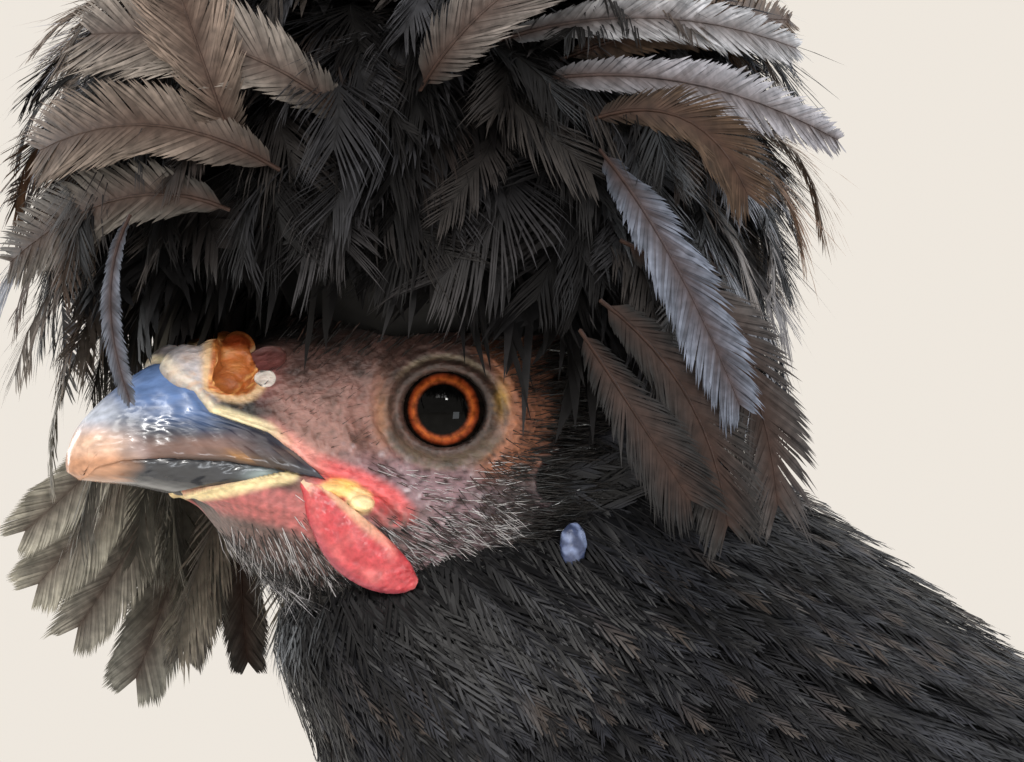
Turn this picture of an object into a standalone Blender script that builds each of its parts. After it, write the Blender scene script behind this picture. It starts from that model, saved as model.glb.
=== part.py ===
"""A life-size black crested hen, standing still.

+Z is up, the hen faces -Y, and +X is its left. Lengths are in metres. The hen stands on the plane z = 0,
and the middle of its outline, seen from above, is over the origin.

The body and neck are one fan of sections, from the nape to the rump, parted by a thin gap. The head and bill
are one loft, parted by thin cuts. Crest, wings and tail are tiers of feather vanes rooted in a small core.
"""

import math

import bpy
import numpy as np

MM = 0.001
GAP = 0.3 * MM
SEED = 11

# Where the hen carries its head: the point midway between its eyes.
EYE_MID = np.array([0.0, -100.0, 317.0]) * MM

# Sections of the neck and body in side view. Each row is the front point (y, z), the back point (y, z) and
# the half width, and the rows run from inside the head, down the neck, round the breast and to the rump.
BODY = np.array([
    [-111.0, 302.0, -78.0, 321.0, 9.5],
    [-115.0, 293.0, -62.0, 313.0, 15.5],
    [-108.0, 281.0, -46.0, 303.0, 22.5],
    [-106.0, 270.0, -28.0, 290.0, 31.5],
    [-108.0, 254.0, -6.0, 277.0, 43.0],
    [-113.0, 235.0, 16.0, 268.5, 54.0],
    [-117.0, 212.0, 40.0, 263.5, 62.5],
    [-115.0, 188.0, 62.0, 260.5, 67.5],
    [-103.0, 164.0, 83.0, 258.0, 69.0],
    [-80.0, 143.0, 100.0, 254.5, 67.5],
    [-46.0, 127.0, 112.0, 249.0, 63.5],
    [-4.0, 118.0, 120.0, 241.0, 57.0],
    [42.0, 119.0, 124.5, 230.0, 46.5],
    [83.0, 136.0, 125.5, 214.0, 33.0],
    [107.0, 163.0, 123.0, 196.0, 17.0],
]) * MM
RUMP_POLE = np.array([0.0, 118.0, 178.0]) * MM
NECK_END = 5.0
TORSO_START = 5.015
ROUNDNESS = 0.92
BODY_SIDES = 22

# Sections of the head and bill, measured from EYE_MID: y, top, bottom, half width, height of the widest point.
HEAD = np.array([
    [-37.7, -4.6, -6.7, 0.8, -5.7],
    [-36.4, -2.2, -7.2, 2.1, -5.1],
    [-34.0, 0.4, -7.5, 3.5, -4.9],
    [-30.5, 3.1, -7.9, 4.8, -4.9],
    [-27.0, 4.9, -8.6, 5.9, -5.0],
    [-23.0, 5.6, -9.8, 6.9, -5.0],
    [-18.5, 6.6, -14.8, 8.0, -5.2],
    [-13.0, 9.2, -19.0, 9.3, -5.4],
    [-7.0, 12.0, -21.6, 11.2, -5.0],
    [-1.0, 14.6, -22.7, 13.2, -4.0],
    [5.0, 15.8, -23.0, 14.3, -3.6],
    [11.0, 15.2, -22.4, 14.3, -4.0],
    [17.0, 12.6, -20.4, 13.0, -4.4],
    [22.0, 8.0, -16.6, 10.2, -4.6],
    [25.5, 2.5, -11.6, 6.0, -4.6],
]) * MM
BILL_POLE = np.array([0.0, -38.2, -6.0]) * MM
NAPE_POLE = np.array([0.0, 27.0, -4.5]) * MM
HEAD_SIDES = 24
HEAD_RINGS = 18

# The line of the mouth in side view, from the corner of the gape to the tip of the bill.
MOUTH = np.array([
    [-6.5, -9.3], [-9.0, -8.2], [-12.5, -7.0], [-16.0, -6.2], [-22.0, -5.2],
    [-29.0, -4.8], [-33.0, -5.0], [-35.4, -5.7], [-36.6, -7.6],
]) * MM
# Where skin meets horn: from the mouth up to the ridge of the bill, and from the mouth down to the chin.
UPPER_EDGE = np.array([[-12.5, -7.0], [-18.1, -2.5], [-24.0, -0.4], [-27.4, 4.8], [-31.0, 12.0]]) * MM
LOWER_EDGE = np.array([[-16.0, -6.5], [-25.5, -8.6], [-32.0, -14.0]]) * MM
MOUTH_SLIT = 0.25 * MM

EYE_CENTRE = np.array([10.2, 1.8, 0.0]) * MM
EYE_R = 6.4 * MM
EYE_TURN = math.radians(62.0)
LID_R = 5.15 * MM
LID_THICK = 1.0 * MM
LID_OUT = 4.5 * MM

NOSTRIL_CASE = np.array([3.2, -21.6, 4.2]) * MM
NOSTRIL_CASE_R = np.array([3.4, 5.0, 4.0]) * MM
NOSTRIL_HOLE = np.array([6.1, -20.6, 4.0]) * MM
NOSTRIL_HOLE_R = np.array([2.2, 2.9, 2.0]) * MM
COMB_NUB = np.array([1.8, -22.8, 7.2]) * MM
COMB_NUB_R = np.array([1.8, 2.6, 2.2]) * MM

EAR_CUP = np.array([13.6, 12.5, -7.5]) * MM
EAR_RIM_R = 2.6 * MM
LOBE = np.array([16.6, 13.8, -14.6]) * MM
LOBE_R = np.array([1.8, 2.3, 3.2]) * MM

# The wattle's middle line in side view from EYE_MID (y, z), with its distance from the middle and half width.
WATTLE = np.array([
    [-13.6, -8.2, 9.0, 0.9], [-12.0, -11.0, 9.6, 2.5], [-9.6, -14.2, 10.2, 3.5], [-6.6, -16.6, 10.7, 3.4],
    [-4.0, -18.0, 11.0, 2.4], [-2.4, -18.6, 11.1, 1.0],
]) * MM
WATTLE_THICK = 1.15 * MM

# The globe of the crest: its middle from EYE_MID, its height over that, and its reach by compass direction.
# A direction is in degrees from the bill towards the hen's left.
CREST_MID = np.array([0.0, 5.0, 18.0]) * MM
CREST_RISE = 44.0
CREST_CORE = 0.42
CREST_COMPASS = np.array([-180.0, -150.0, -115.0, -80.0, -50.0, -25.0, 0.0, 40.0, 80.0, 115.0, 150.0, 180.0])
CREST_REACH = np.array([44.0, 45.0, 46.0, 47.0, 47.0, 44.0, 42.0, 40.0, 41.0, 43.0, 44.0, 44.0])
# How far below the middle the lowest feathers may hang in each direction: they stay clear of eye and bill.
CREST_LOW = np.array([-28.0, -30.0, -40.0, -46.0, -44.0, -16.0, -4.0, -9.0, -12.0, -22.0, -28.0, -28.0])
# Tiers from the top down: height of the tips over the middle, number of feathers round a whole turn, half width.
CREST_TIERS = [
    (42.0, 4, 10.0), (36.5, 7, 12.0), (27.0, 9, 13.0), (14.5, 10, 13.0), (1.5, 11, 12.5), (-12.0, 11, 11.0),
    (-26.0, 11, 10.5), (-40.0, 11, 9.5),
]
VANE_THICK = 0.55 * MM
VANE_STATIONS = np.array([0.0, 0.34, 0.66, 0.93, 1.0])
# How wide a feather is along its length, as a share of its widest.
VANE_SHAPE = ([0.0, 0.3, 0.62, 0.8, 0.93], [0.32, 0.74, 1.0, 0.97, 0.62])

WING_PLAIN = dict(mid=(-16.0, 210.0), size=(58.0, 27.0), thick=5.5)
TAIL_ROOT = np.array([0.0, 112.0, 236.0]) * MM
TAIL_CORE_R = np.array([17.0, 16.0, 13.0]) * MM

HOCK = np.array([37.0, 31.0, 92.5]) * MM
ANKLE = np.array([38.0, 6.0, 15.0]) * MM
# The feathered thigh: z, y of the middle, half length, half width.
THIGH = np.array([
    [176.0, 0.0, 30.0, 17.0],
    [158.0, 4.0, 36.0, 21.0],
    [140.0, 11.0, 33.0, 20.0],
    [124.0, 18.0, 26.0, 17.5],
    [110.0, 24.0, 19.0, 14.5],
    [99.0, 28.5, 13.0, 11.0],
    [93.0, 30.5, 9.5, 8.5],
]) * MM
THIGH_MID_X = 37.0 * MM
SCUTES = 9
TOES = {
    "inner": dict(turn=-32.0, length=36.0, claw=10.5),
    "middle": dict(turn=4.0, length=52.0, claw=11.5),
    "outer": dict(turn=38.0, length=38.0, claw=10.5),
    "hind": dict(turn=158.0, length=17.0, claw=9.5),
}

COLOURS = {
    "plumage": ((0.018, 0.018, 0.022), 0.5),
    "face_skin": ((0.36, 0.20, 0.18), 0.6),
    "horn": ((0.10, 0.115, 0.145), 0.3),
    "eye": ((0.42, 0.10, 0.02), 0.08),
    "wattle_skin": ((0.62, 0.07, 0.06), 0.5),
    "lobe_skin": ((0.55, 0.60, 0.72), 0.5),
    "leg_skin": ((0.10, 0.115, 0.14), 0.55),
    "claw": ((0.20, 0.19, 0.19), 0.4),
}


def clear_scene():
    """Removes whatever the file holds."""
    for thing in list(bpy.data.objects):
        bpy.data.objects.remove(thing)


def material(name):
    """One Principled material from the colour table."""
    found = bpy.data.materials.get(name)
    if found:
        return found
    colour, roughness = COLOURS[name]
    made = bpy.data.materials.new(name)
    made.use_nodes = True
    shader = made.node_tree.nodes["Principled BSDF"]
    shader.inputs["Base Color"].default_value = (*colour, 1.0)
    shader.inputs["Roughness"].default_value = roughness
    shader.inputs["Metallic"].default_value = 0.0
    return made


def solid(name, points, faces, skin):
    """A mesh object from triangles or quads, turned to face outwards, with its material."""
    points = np.asarray(points, float)
    mesh = bpy.data.meshes.new(name)
    mesh.from_pydata(points.tolist(), [], faces)
    mesh.calc_loop_triangles()
    corners = np.array([t.vertices[:] for t in mesh.loop_triangles])
    if np.linalg.det(points[corners]).sum() < 0:
        mesh.flip_normals()
    mesh.materials.append(material(skin))
    made = bpy.data.objects.new(name, mesh)
    bpy.context.scene.collection.objects.link(made)
    return made


def loft(name, rings, start, end, skin):
    """Rings of points joined in order, each end closed by a fan about one point."""
    rings = np.asarray(rings, float)
    count, sides = rings.shape[:2]
    points = np.concatenate([rings.reshape(-1, 3), [start, end]])
    first, last = count * sides, count * sides + 1
    faces = []
    for i in range(count - 1):
        for j in range(sides):
            k = (j + 1) % sides
            faces.append((i * sides + j, i * sides + k, (i + 1) * sides + k, (i + 1) * sides + j))
    for j in range(sides):
        k = (j + 1) % sides
        faces.append((first, k, j))
        faces.append((last, (count - 1) * sides + j, (count - 1) * sides + k))
    return solid(name, points, faces, skin)


def capped(name, rings, skin):
    """A loft whose two ends are flat."""
    return loft(name, rings, np.mean(rings[0], axis=0), np.mean(rings[-1], axis=0), skin)


def smooth(table, at):
    """The table's rows at fractional row numbers, on a Catmull-Rom curve through them."""
    at = np.clip(np.atleast_1d(np.asarray(at, float)), 0, len(table) - 1)
    low = np.minimum(at.astype(int), len(table) - 2)
    f = (at - low)[:, None]
    before, after = table[np.maximum(low - 1, 0)], table[np.minimum(low + 2, len(table) - 1)]
    a, b = table[low], table[low + 1]
    leave, arrive = (b - before) / 2, (after - a) / 2
    return (
        (2 * f**3 - 3 * f**2 + 1) * a
        + (f**3 - 2 * f**2 + f) * leave
        + (3 * f**2 - 2 * f**3) * b
        + (f**3 - f**2) * arrive
    )


def rounded(angle):
    """Cosine and sine of an angle, squared off a little so that a section is fuller than an ellipse."""
    c, s = np.cos(angle), np.sin(angle)
    return np.sign(c) * np.abs(c) ** ROUNDNESS, np.sign(s) * np.abs(s) ** ROUNDNESS


def ellipsoid(name, centre, radii, skin, sides=12, rings=6):
    """A closed ball of latitude rings, stretched to three radii."""
    turn = np.arange(sides) * 2 * math.pi / sides
    made = []
    for lat in np.linspace(0, math.pi, rings + 2)[1:-1]:
        ring = [np.sin(lat) * np.cos(turn), np.sin(lat) * np.sin(turn), np.full(sides, np.cos(lat))]
        made.append(np.stack(ring, axis=1) * radii + centre)
    pole = np.array([0.0, 0.0, radii[2]])
    return loft(name, made, centre + pole, centre - pole, skin)


def largest_body(thing):
    """Keeps only the largest closed surface of a mesh."""
    mesh = thing.data
    mesh.calc_loop_triangles()
    points = np.array([v.co[:] for v in mesh.vertices])
    corners = np.array([t.vertices[:] for t in mesh.loop_triangles])
    parent = np.arange(len(points))
    edges = np.array([e.vertices[:] for e in mesh.edges])
    while True:
        low = np.minimum(parent[edges[:, 0]], parent[edges[:, 1]])
        new = parent.copy()
        np.minimum.at(new, edges[:, 0], low)
        np.minimum.at(new, edges[:, 1], low)
        new = new[new]
        if (new == parent).all():
            break
        parent = new
    groups = np.unique(parent[corners[:, 0]])
    if len(groups) == 1:
        return thing
    volumes = [np.linalg.det(points[corners[parent[corners[:, 0]] == g]]).sum() for g in groups]
    keep = groups[int(np.argmax(volumes))]
    wanted = parent == keep
    renumber = np.cumsum(wanted) - 1
    faces = [
        tuple(int(renumber[v]) for v in p.vertices) for p in mesh.polygons if wanted[p.vertices[0]]
    ]
    clean = bpy.data.meshes.new(thing.name)
    clean.from_pydata(points[wanted].tolist(), [], faces)
    for skin in mesh.materials:
        clean.materials.append(skin)
    thing.data = clean
    return thing


def apply_boolean(thing, others, operation, solver="EXACT"):
    """Applies one Boolean with a collection of closed meshes, which are then removed."""
    group = bpy.data.collections.new("operands")
    bpy.context.scene.collection.children.link(group)
    for other in others:
        bpy.context.scene.collection.objects.unlink(other)
        group.objects.link(other)
    modifier = thing.modifiers.new("boolean", "BOOLEAN")
    modifier.operation = operation
    modifier.solver = solver
    modifier.operand_type = "COLLECTION"
    modifier.collection = group
    bpy.context.view_layer.update()
    graph = bpy.context.evaluated_depsgraph_get()
    made = bpy.data.meshes.new_from_object(thing.evaluated_get(graph))
    thing.modifiers.clear()
    thing.data = made
    for other in others:
        bpy.data.objects.remove(other)
    bpy.data.collections.remove(group)
    return largest_body(thing)


def fuse(thing, others, solver="MANIFOLD"):
    """One union of a core and the pieces rooted in it."""
    return apply_boolean(thing, others, "UNION", solver)


def cut(thing, cutters, solver="MANIFOLD"):
    """Takes the cutters away one at a time, as they may overlap one another."""
    for cutter in cutters:
        apply_boolean(thing, [cutter], "DIFFERENCE", solver)
    return thing


def prism(name, outline, half_width, skin):
    """A side-view outline (y, z) drawn out to both sides of the middle plane."""
    count = len(outline)
    left = np.column_stack([np.full(count, half_width), outline])
    right = np.column_stack([np.full(count, -half_width), outline])
    faces = [(i, (i + 1) % count, count + (i + 1) % count, count + i) for i in range(count)]
    faces += [tuple(range(count))[::-1], tuple(range(count, 2 * count))]
    return solid(name, np.concatenate([left, right]), faces, skin)


def finish_smooth(thing):
    """Shades a rounded piece smooth, with edges over 40 degrees kept sharp."""
    thing.data.shade_smooth()
    thing.data.set_sharp_from_angle(angle=math.radians(40))
    return thing


def mirrored(points, side):
    """Points on the hen's left for side 1, and the same on its right for side -1."""
    return np.asarray(points, float) * np.array([side, 1.0, 1.0])


def body_ring(at, grow=0.0):
    """One closed section of the neck or body, in its own tilted plane, grown outwards."""
    front_y, front_z, back_y, back_z, half = smooth(BODY, at)[0]
    reach = np.array([0.0, back_y - front_y, back_z - front_z]) / 2
    reach *= 1 + grow / np.linalg.norm(reach)
    middle = np.array([0.0, back_y + front_y, back_z + front_z]) / 2
    along, across = rounded(np.arange(BODY_SIDES) * 2 * math.pi / BODY_SIDES)
    return middle + np.outer(along, reach) + np.outer(across, [half + grow, 0, 0])


def body_side(y, z):
    """Half width of the body at points of the side view, from the section that passes through each."""
    at = np.linspace(0, len(BODY) - 1, 400)
    front_y, front_z, back_y, back_z, half = smooth(BODY, at).T
    y, z = np.atleast_1d(y)[:, None], np.atleast_1d(z)[:, None]
    long_y, long_z = back_y - front_y, back_z - front_z
    side = long_y * (z - front_z) - long_z * (y - front_y)
    row = np.argmax(side >= 0, axis=1)
    row = np.where((side < 0).all(axis=1), len(at) - 1, row)
    pick = np.arange(len(row))
    share = ((y - front_y) * long_y + (z - front_z) * long_z)[pick, row] / (long_y**2 + long_z**2)[row]
    c = np.clip(np.abs(2 * share - 1), 0, 1) ** (1 / ROUNDNESS)
    return half[row] * np.sqrt(np.clip(1 - c**2, 0, 1)) ** ROUNDNESS


def torso_form(grow=0.0):
    """The body from the foot of the neck to the rump."""
    stations = np.concatenate([[TORSO_START], np.linspace(5.6, len(BODY) - 1, 16)])
    rings = [body_ring(at, grow) for at in stations]
    if grow:
        rings[0] = rings[0] + np.array([0, -grow * 0.3, grow])
    return loft("torso", rings, rings[0].mean(axis=0), RUMP_POLE + [0, grow, -grow], "plumage")


def neck_form(grow=0.0):
    """The neck with its cape of feathers, from inside the head to the body."""
    rings = [body_ring(at, grow) for at in np.linspace(0, NECK_END, 10)]
    return capped("neck", rings, "plumage")


def head_form(grow=0.0):
    """Head and bill in one, from the tip of the bill to the nape."""
    rings = []
    for at in np.linspace(0, len(HEAD) - 1, HEAD_RINGS):
        y, top, bottom, half, middle = smooth(HEAD, at)[0]
        up, across = rounded(np.arange(HEAD_SIDES) * 2 * math.pi / HEAD_SIDES)
        height = np.where(up > 0, (top - middle + grow) * up, (middle - bottom + grow) * up)
        rings.append(np.column_stack([across * (half + grow), np.full(HEAD_SIDES, y), middle + height]))
    start, end = BILL_POLE - [0, grow, 0], NAPE_POLE + [0, grow, 0]
    return loft("head", np.array(rings) + EYE_MID, start + EYE_MID, end + EYE_MID, "face_skin")


def eye_ball(name, side, grow=0.0):
    """The eyeball, with its poles along the way the eye looks."""
    look = np.array([math.sin(EYE_TURN), -math.cos(EYE_TURN), 0.0])
    flat = np.array([math.cos(EYE_TURN), math.sin(EYE_TURN), 0.0])
    turn = np.arange(16) * 2 * math.pi / 16
    rings = []
    for lat in (0.3, 0.62, 0.95, 1.3, 1.8, 2.4):
        around = np.outer(np.cos(turn), flat) + np.outer(np.sin(turn), [0, 0, 1])
        rings.append((EYE_R + grow) * (math.cos(lat) * look + math.sin(lat) * around) + EYE_CENTRE)
    ends = [EYE_CENTRE + (EYE_R + grow) * look, EYE_CENTRE - (EYE_R + grow) * look]
    rings, ends = mirrored(rings, side) + EYE_MID, mirrored(ends, side) + EYE_MID
    return loft(name, rings, ends[0], ends[1], "eye")


def torus(name, middle, axis, radius, thick, skin, sides=18, round_sides=6):
    """A ring of round section about an axis."""
    axis = axis / np.linalg.norm(axis)
    flat = np.cross(axis, [0, 0, 1])
    flat /= np.linalg.norm(flat)
    upright = np.cross(flat, axis)
    turn = np.arange(sides) * 2 * math.pi / sides
    small = np.arange(round_sides) * 2 * math.pi / round_sides
    out = np.outer(np.cos(turn), flat) + np.outer(np.sin(turn), upright)
    rings = middle + out[:, None] * (radius + thick * np.cos(small))[None, :, None]
    rings = rings + thick * np.sin(small)[None, :, None] * axis
    faces = []
    for i in range(sides):
        for j in range(round_sides):
            k, m = (i + 1) % sides, (j + 1) % round_sides
            faces.append((i * round_sides + j, k * round_sides + j, k * round_sides + m, i * round_sides + m))
    return solid(name, rings.reshape(-1, 3), faces, skin)


def face_pieces(grow=0.0):
    """What stands out from the head: lids, nostril casings, the nubs of the comb and rims of the ears."""
    pieces = []
    for side in (1, -1):
        look = np.array([math.sin(EYE_TURN), -math.cos(EYE_TURN), 0.0])
        middle = mirrored(EYE_CENTRE + LID_OUT * look, side) + EYE_MID
        pieces.append(torus("lid", middle, mirrored(look, side), LID_R, LID_THICK + grow, "face_skin", 16, 5))
        casing = mirrored(NOSTRIL_CASE, side) + EYE_MID
        pieces.append(ellipsoid("casing", casing, NOSTRIL_CASE_R + grow, "face_skin"))
        nub = mirrored(COMB_NUB, side) + EYE_MID
        pieces.append(ellipsoid("nub", nub, COMB_NUB_R + grow, "face_skin", sides=10, rings=5))
        rim = mirrored(EAR_CUP, side) + EYE_MID
        pieces.append(torus("rim", rim, np.array([side, 0.15, 0.0]), EAR_RIM_R, 0.8 * MM + grow, "face_skin", 10, 5))
    return pieces


def head_nodes():
    """Head, upper and lower bill, parted along the mouth and along the edges of the horn."""
    head = head_form()
    fuse(head, face_pieces())

    ahead = -46.0 * MM
    slit = np.array([0.0, MOUTH_SLIT])
    lip = MOUTH[4:] + np.array([0.8 * GAP, -1.1 * GAP])
    skin_side = np.array([0.8 * GAP, 0.8 * GAP])
    chin_side = np.array([1.2 * GAP, -0.6 * GAP])
    upper = np.concatenate([MOUTH[2:], [[ahead, MOUTH[-1][1]], [ahead, UPPER_EDGE[-1][1]]], UPPER_EDGE[:0:-1]])
    lower = np.concatenate([LOWER_EDGE[:1], lip, [[ahead, lip[-1][1]], [ahead, LOWER_EDGE[-1][1]]], LOWER_EDGE[:0:-1]])
    whole = np.concatenate([
        [MOUTH[0], MOUTH[1] + slit], UPPER_EDGE + skin_side,
        [[ahead - GAP, UPPER_EDGE[-1][1] + GAP], [ahead - GAP, LOWER_EDGE[-1][1] - GAP]],
        (LOWER_EDGE + chin_side)[::-1], [MOUTH[2] - slit, MOUTH[1] - slit],
    ])
    shift = EYE_MID[1:]
    wide = 25 * MM
    cutters = [prism("bill_space", whole + shift, wide, "face_skin")]
    for side in (1, -1):
        cutters.append(eye_ball("socket", side, GAP))
        hole = mirrored(NOSTRIL_HOLE, side) + EYE_MID
        cutters.append(ellipsoid("nostril", hole, NOSTRIL_HOLE_R, "face_skin", 10, 5))
        cup = mirrored(EAR_CUP + [0.9 * MM, 0, 0], side) + EYE_MID
        cutters.append(ellipsoid("ear_hole", cup, np.array([1.6, 1.8, 2.0]) * MM, "face_skin", 8, 4))
    cut(head, cutters)

    made = [head]
    for name, outline in (("bill_upper", upper), ("bill_lower", lower)):
        horn = head_form()
        horn.name = name
        horn.data.materials.clear()
        horn.data.materials.append(material("horn"))
        apply_boolean(horn, [prism("zone", outline + shift, wide, "horn")], "INTERSECT")
        made.append(horn)
    return made


def vane(name, line, across, out, half, thick, cup=0.0, skin="plumage"):
    """A feather: a thin blade along a line, broadest past its middle, with a raised shaft and a rounded tip.

    The line has a point for each of VANE_STATIONS. across and out are unit vectors at each point of it, and
    cup bends both edges inwards.
    """
    points = []
    for i, share in enumerate(VANE_STATIONS[:-1]):
        half_here = half * np.interp(share, VANE_SHAPE[0], VANE_SHAPE[1])
        drop = out[i] * cup * (half_here / half) ** 2
        depth = thick * (1 - 0.45 * share)
        points += [
            line[i] - across[i] * half_here - drop,
            line[i] + out[i] * depth,
            line[i] + across[i] * half_here - drop,
            line[i] - out[i] * depth,
        ]
    points.append(line[-1])
    faces = [(0, 2, 1), (0, 3, 2)]
    for i in range(len(line) - 2):
        a, b = 4 * i, 4 * i + 4
        faces += [(a, a + 1, b), (a + 1, b + 1, b), (a, b, a + 3), (a + 3, b, b + 3)]
        faces += [(a + 2, b + 2, a + 1), (a + 1, b + 2, b + 1), (a + 2, a + 3, b + 2), (a + 3, b + 3, b + 2)]
    last, tip = 4 * (len(line) - 2), len(points) - 1
    faces += [(last, last + 1, tip), (last + 1, last + 2, tip), (last + 2, last + 3, tip), (last + 3, last, tip)]
    return solid(name, points, faces, skin)


def frames(line, up):
    """Unit vectors across and out from a line of points, given roughly which way is out at each."""
    along = np.gradient(line, axis=0)
    along /= np.linalg.norm(along, axis=1)[:, None]
    across = np.cross(along, up)
    across /= np.linalg.norm(across, axis=1)[:, None]
    return across, np.cross(across, along)


def plume(turn, height, reach):
    """A crest feather's line: up out of the core, and over so that its end lies along the globe.

    turn is in degrees from the bill towards the hen's left, and height is that of the tip over the middle.
    Returns the points at VANE_STATIONS, measured from the middle, and which way is out at each.
    """
    if height > 0:
        lean = math.asin(min(height / CREST_RISE, 0.97))
        tip = np.array([reach * math.cos(lean) ** 0.7, height])
        along = np.array([math.sin(lean) * reach, -math.cos(lean) * CREST_RISE])
    else:
        lean = height / 60
        tip = np.array([reach * (1 - 0.10 * (height / 30) ** 2), height])
        along = np.array([0.12 * reach * height / 30, -CREST_RISE])
    along = along / np.linalg.norm(along) + [np.interp(height, [-10, 10, 30], [0.2, 0.12, -0.12]), 0.0]
    from_lat = min(lean + 0.72, 1.45)
    root = 0.9 * CREST_CORE * np.array([reach * math.cos(from_lat), CREST_RISE * math.sin(from_lat)])
    bend = tip - along * 0.52 * np.linalg.norm(tip - root)
    t = VANE_STATIONS[:, None]
    flat = (1 - t) ** 2 * root + 2 * t * (1 - t) * bend + t**2 * tip
    slope = 2 * (1 - t) * (bend - root) + 2 * t * (tip - bend)
    ahead = np.array([math.sin(math.radians(turn)), -math.cos(math.radians(turn)), 0.0])
    line = np.outer(flat[:, 0], ahead) + np.outer(flat[:, 1], [0, 0, 1])
    out = np.outer(-slope[:, 1], ahead) + np.outer(slope[:, 0], [0, 0, 1])
    return line * MM, out


def crest():
    """The globe of crest feathers, tier above tier, rooted in a rounded core over the skull."""
    random = np.random.default_rng(SEED)
    middle = CREST_MID + EYE_MID
    core_r = CREST_CORE * np.array([42.0, 44.0, CREST_RISE]) * MM
    core = ellipsoid("crest", middle, core_r, "plumage", sides=16, rings=7)
    pieces = []
    for tier, (height, count, half) in enumerate(CREST_TIERS):
        for i in range(count):
            turn = 360.0 * (i + 0.5 * (tier % 2)) / count + random.uniform(-4, 4) + 9.0
            turn = (turn + 180) % 360 - 180
            reach = np.interp(turn, CREST_COMPASS, CREST_REACH) * random.uniform(0.96, 1.05)
            low = np.interp(turn, CREST_COMPASS, CREST_LOW)
            tip = height + random.uniform(-2, 2)
            if tip < low - 6:
                continue
            line, out = plume(turn, max(tip, low), reach)
            across, out = frames(line, out)
            pieces.append(vane(f"plume_{tier}_{i}", line + middle, across, out, half * MM, VANE_THICK, 1.6 * MM))
    fuse(core, pieces)
    clear = [eye_ball("clear", side, GAP) for side in (1, -1)]
    return cut(core, [head_form(GAP), neck_form(GAP)] + face_pieces(GAP) + clear)


def wing_sheet(y, z, lift):
    """Points on the surface that the folded wing lies on: the body's side, carried on flat past the rump."""
    flat = (60 * MM - 0.15 * y) - 30 * MM * np.clip((70 * MM - y) / (70 * MM), 0, 1)
    flat = flat - 0.5 * np.clip(z - 215 * MM, 0, None)
    side = body_side(y, z)
    soft = 4 * MM
    x = (side + flat + np.sqrt((side - flat) ** 2 + soft**2)) / 2
    return np.column_stack([x + lift, y, z])


def sheet_out(y, z):
    """Which way is out from the wing's surface."""
    step = 1.5 * MM
    slope_y = (wing_sheet(y + step, z, 0)[:, 0] - wing_sheet(y - step, z, 0)[:, 0]) / (2 * step)
    slope_z = (wing_sheet(y, z + step, 0)[:, 0] - wing_sheet(y, z - step, 0)[:, 0]) / (2 * step)
    out = np.column_stack([np.ones_like(slope_y), -slope_y, -slope_z])
    return out / np.linalg.norm(out, axis=1)[:, None]


def wing_vane(name, side, root, slope, length, half, lift):
    """A wing feather laid on the wing's surface. slope is in degrees above the level, towards the tail."""
    share, angle = VANE_STATIONS, math.radians(slope)
    y = root[0] * MM + length * MM * share * np.cos(angle)
    z = root[1] * MM + length * MM * share * np.sin(angle)
    line = wing_sheet(y, z, lift * MM)
    across, out = frames(line, sheet_out(y, z))
    tilt = 0.055
    across = across + out * tilt
    return vane(name, mirrored(line, side), mirrored(across, side), mirrored(out, side), half * MM, VANE_THICK, 0.0)


# Rows of wing feathers from the lowest layer to the top one: name, number, first and last root (y, z), first
# and last slope in degrees, first and last length, half width, and first and last height over the surface.
WING_ROWS = [
    ("primary", 4, (22, 202), (8, 184), (-4, 0), (100, 84), 7.0, (2.2, 1.6)),
    ("secondary", 7, (2, 230), (-8, 177), (-12, -2), (98, 66), 9.6, (4.6, 2.8)),
    ("greater_covert", 6, (-22, 234), (-34, 181), (-11, -4), (50, 40), 9.2, (5.6, 4.0)),
    ("median_covert", 4, (-44, 231), (-54, 190), (-11, -6), (36, 30), 10.6, (6.8, 5.4)),
    ("scapular", 3, (-46, 246), (-36, 233), (-6, -9), (66, 54), 10.0, (7.8, 7.2)),
]


def wing(side):
    """A folded wing: a rounded core at the shoulder and rows of feathers, each over the one behind it."""
    (mid_y, mid_z), (half_y, half_z), thick = (WING_PLAIN[k] for k in ("mid", "size", "thick"))
    sides = 20
    turn = np.arange(sides) * 2 * math.pi / sides
    shares = [0.35, 0.7, 1.0]
    outer = [(r, 0.6 + thick * math.sqrt(1 - (0.98 * r) ** 2)) for r in shares]
    inner = [(r, -1.2) for r in shares[::-1]]
    rings = []
    for r, lift in outer + inner:
        y = (mid_y + half_y * r * np.cos(turn)) * MM
        z = (mid_z + half_z * r * np.sin(turn) - 0.05 * half_y * r * np.cos(turn)) * MM
        rings.append(mirrored(wing_sheet(y, z, lift * MM), side))
    centre = np.array([mid_y * MM]), np.array([mid_z * MM])
    ends = [mirrored(wing_sheet(*centre, lift * MM)[0], side) for lift in (0.6 + thick, -1.2)]
    name = "wing_left" if side > 0 else "wing_right"
    core = loft(name, rings, ends[0], ends[1], "plumage")
    pieces = []
    for row, count, first, last, slopes, lengths, half, lifts in WING_ROWS:
        for i in range(count):
            share = i / (count - 1)
            root = [first[k] + (last[k] - first[k]) * share for k in (0, 1)]
            values = [pair[0] + (pair[1] - pair[0]) * share for pair in (slopes, lengths, lifts)]
            pieces.append(wing_vane(f"{row}_{i}", side, root, values[0], values[1], half, values[2]))
    fuse(core, pieces)
    return cut(core, [torso_form(GAP), neck_form(GAP)])


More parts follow.
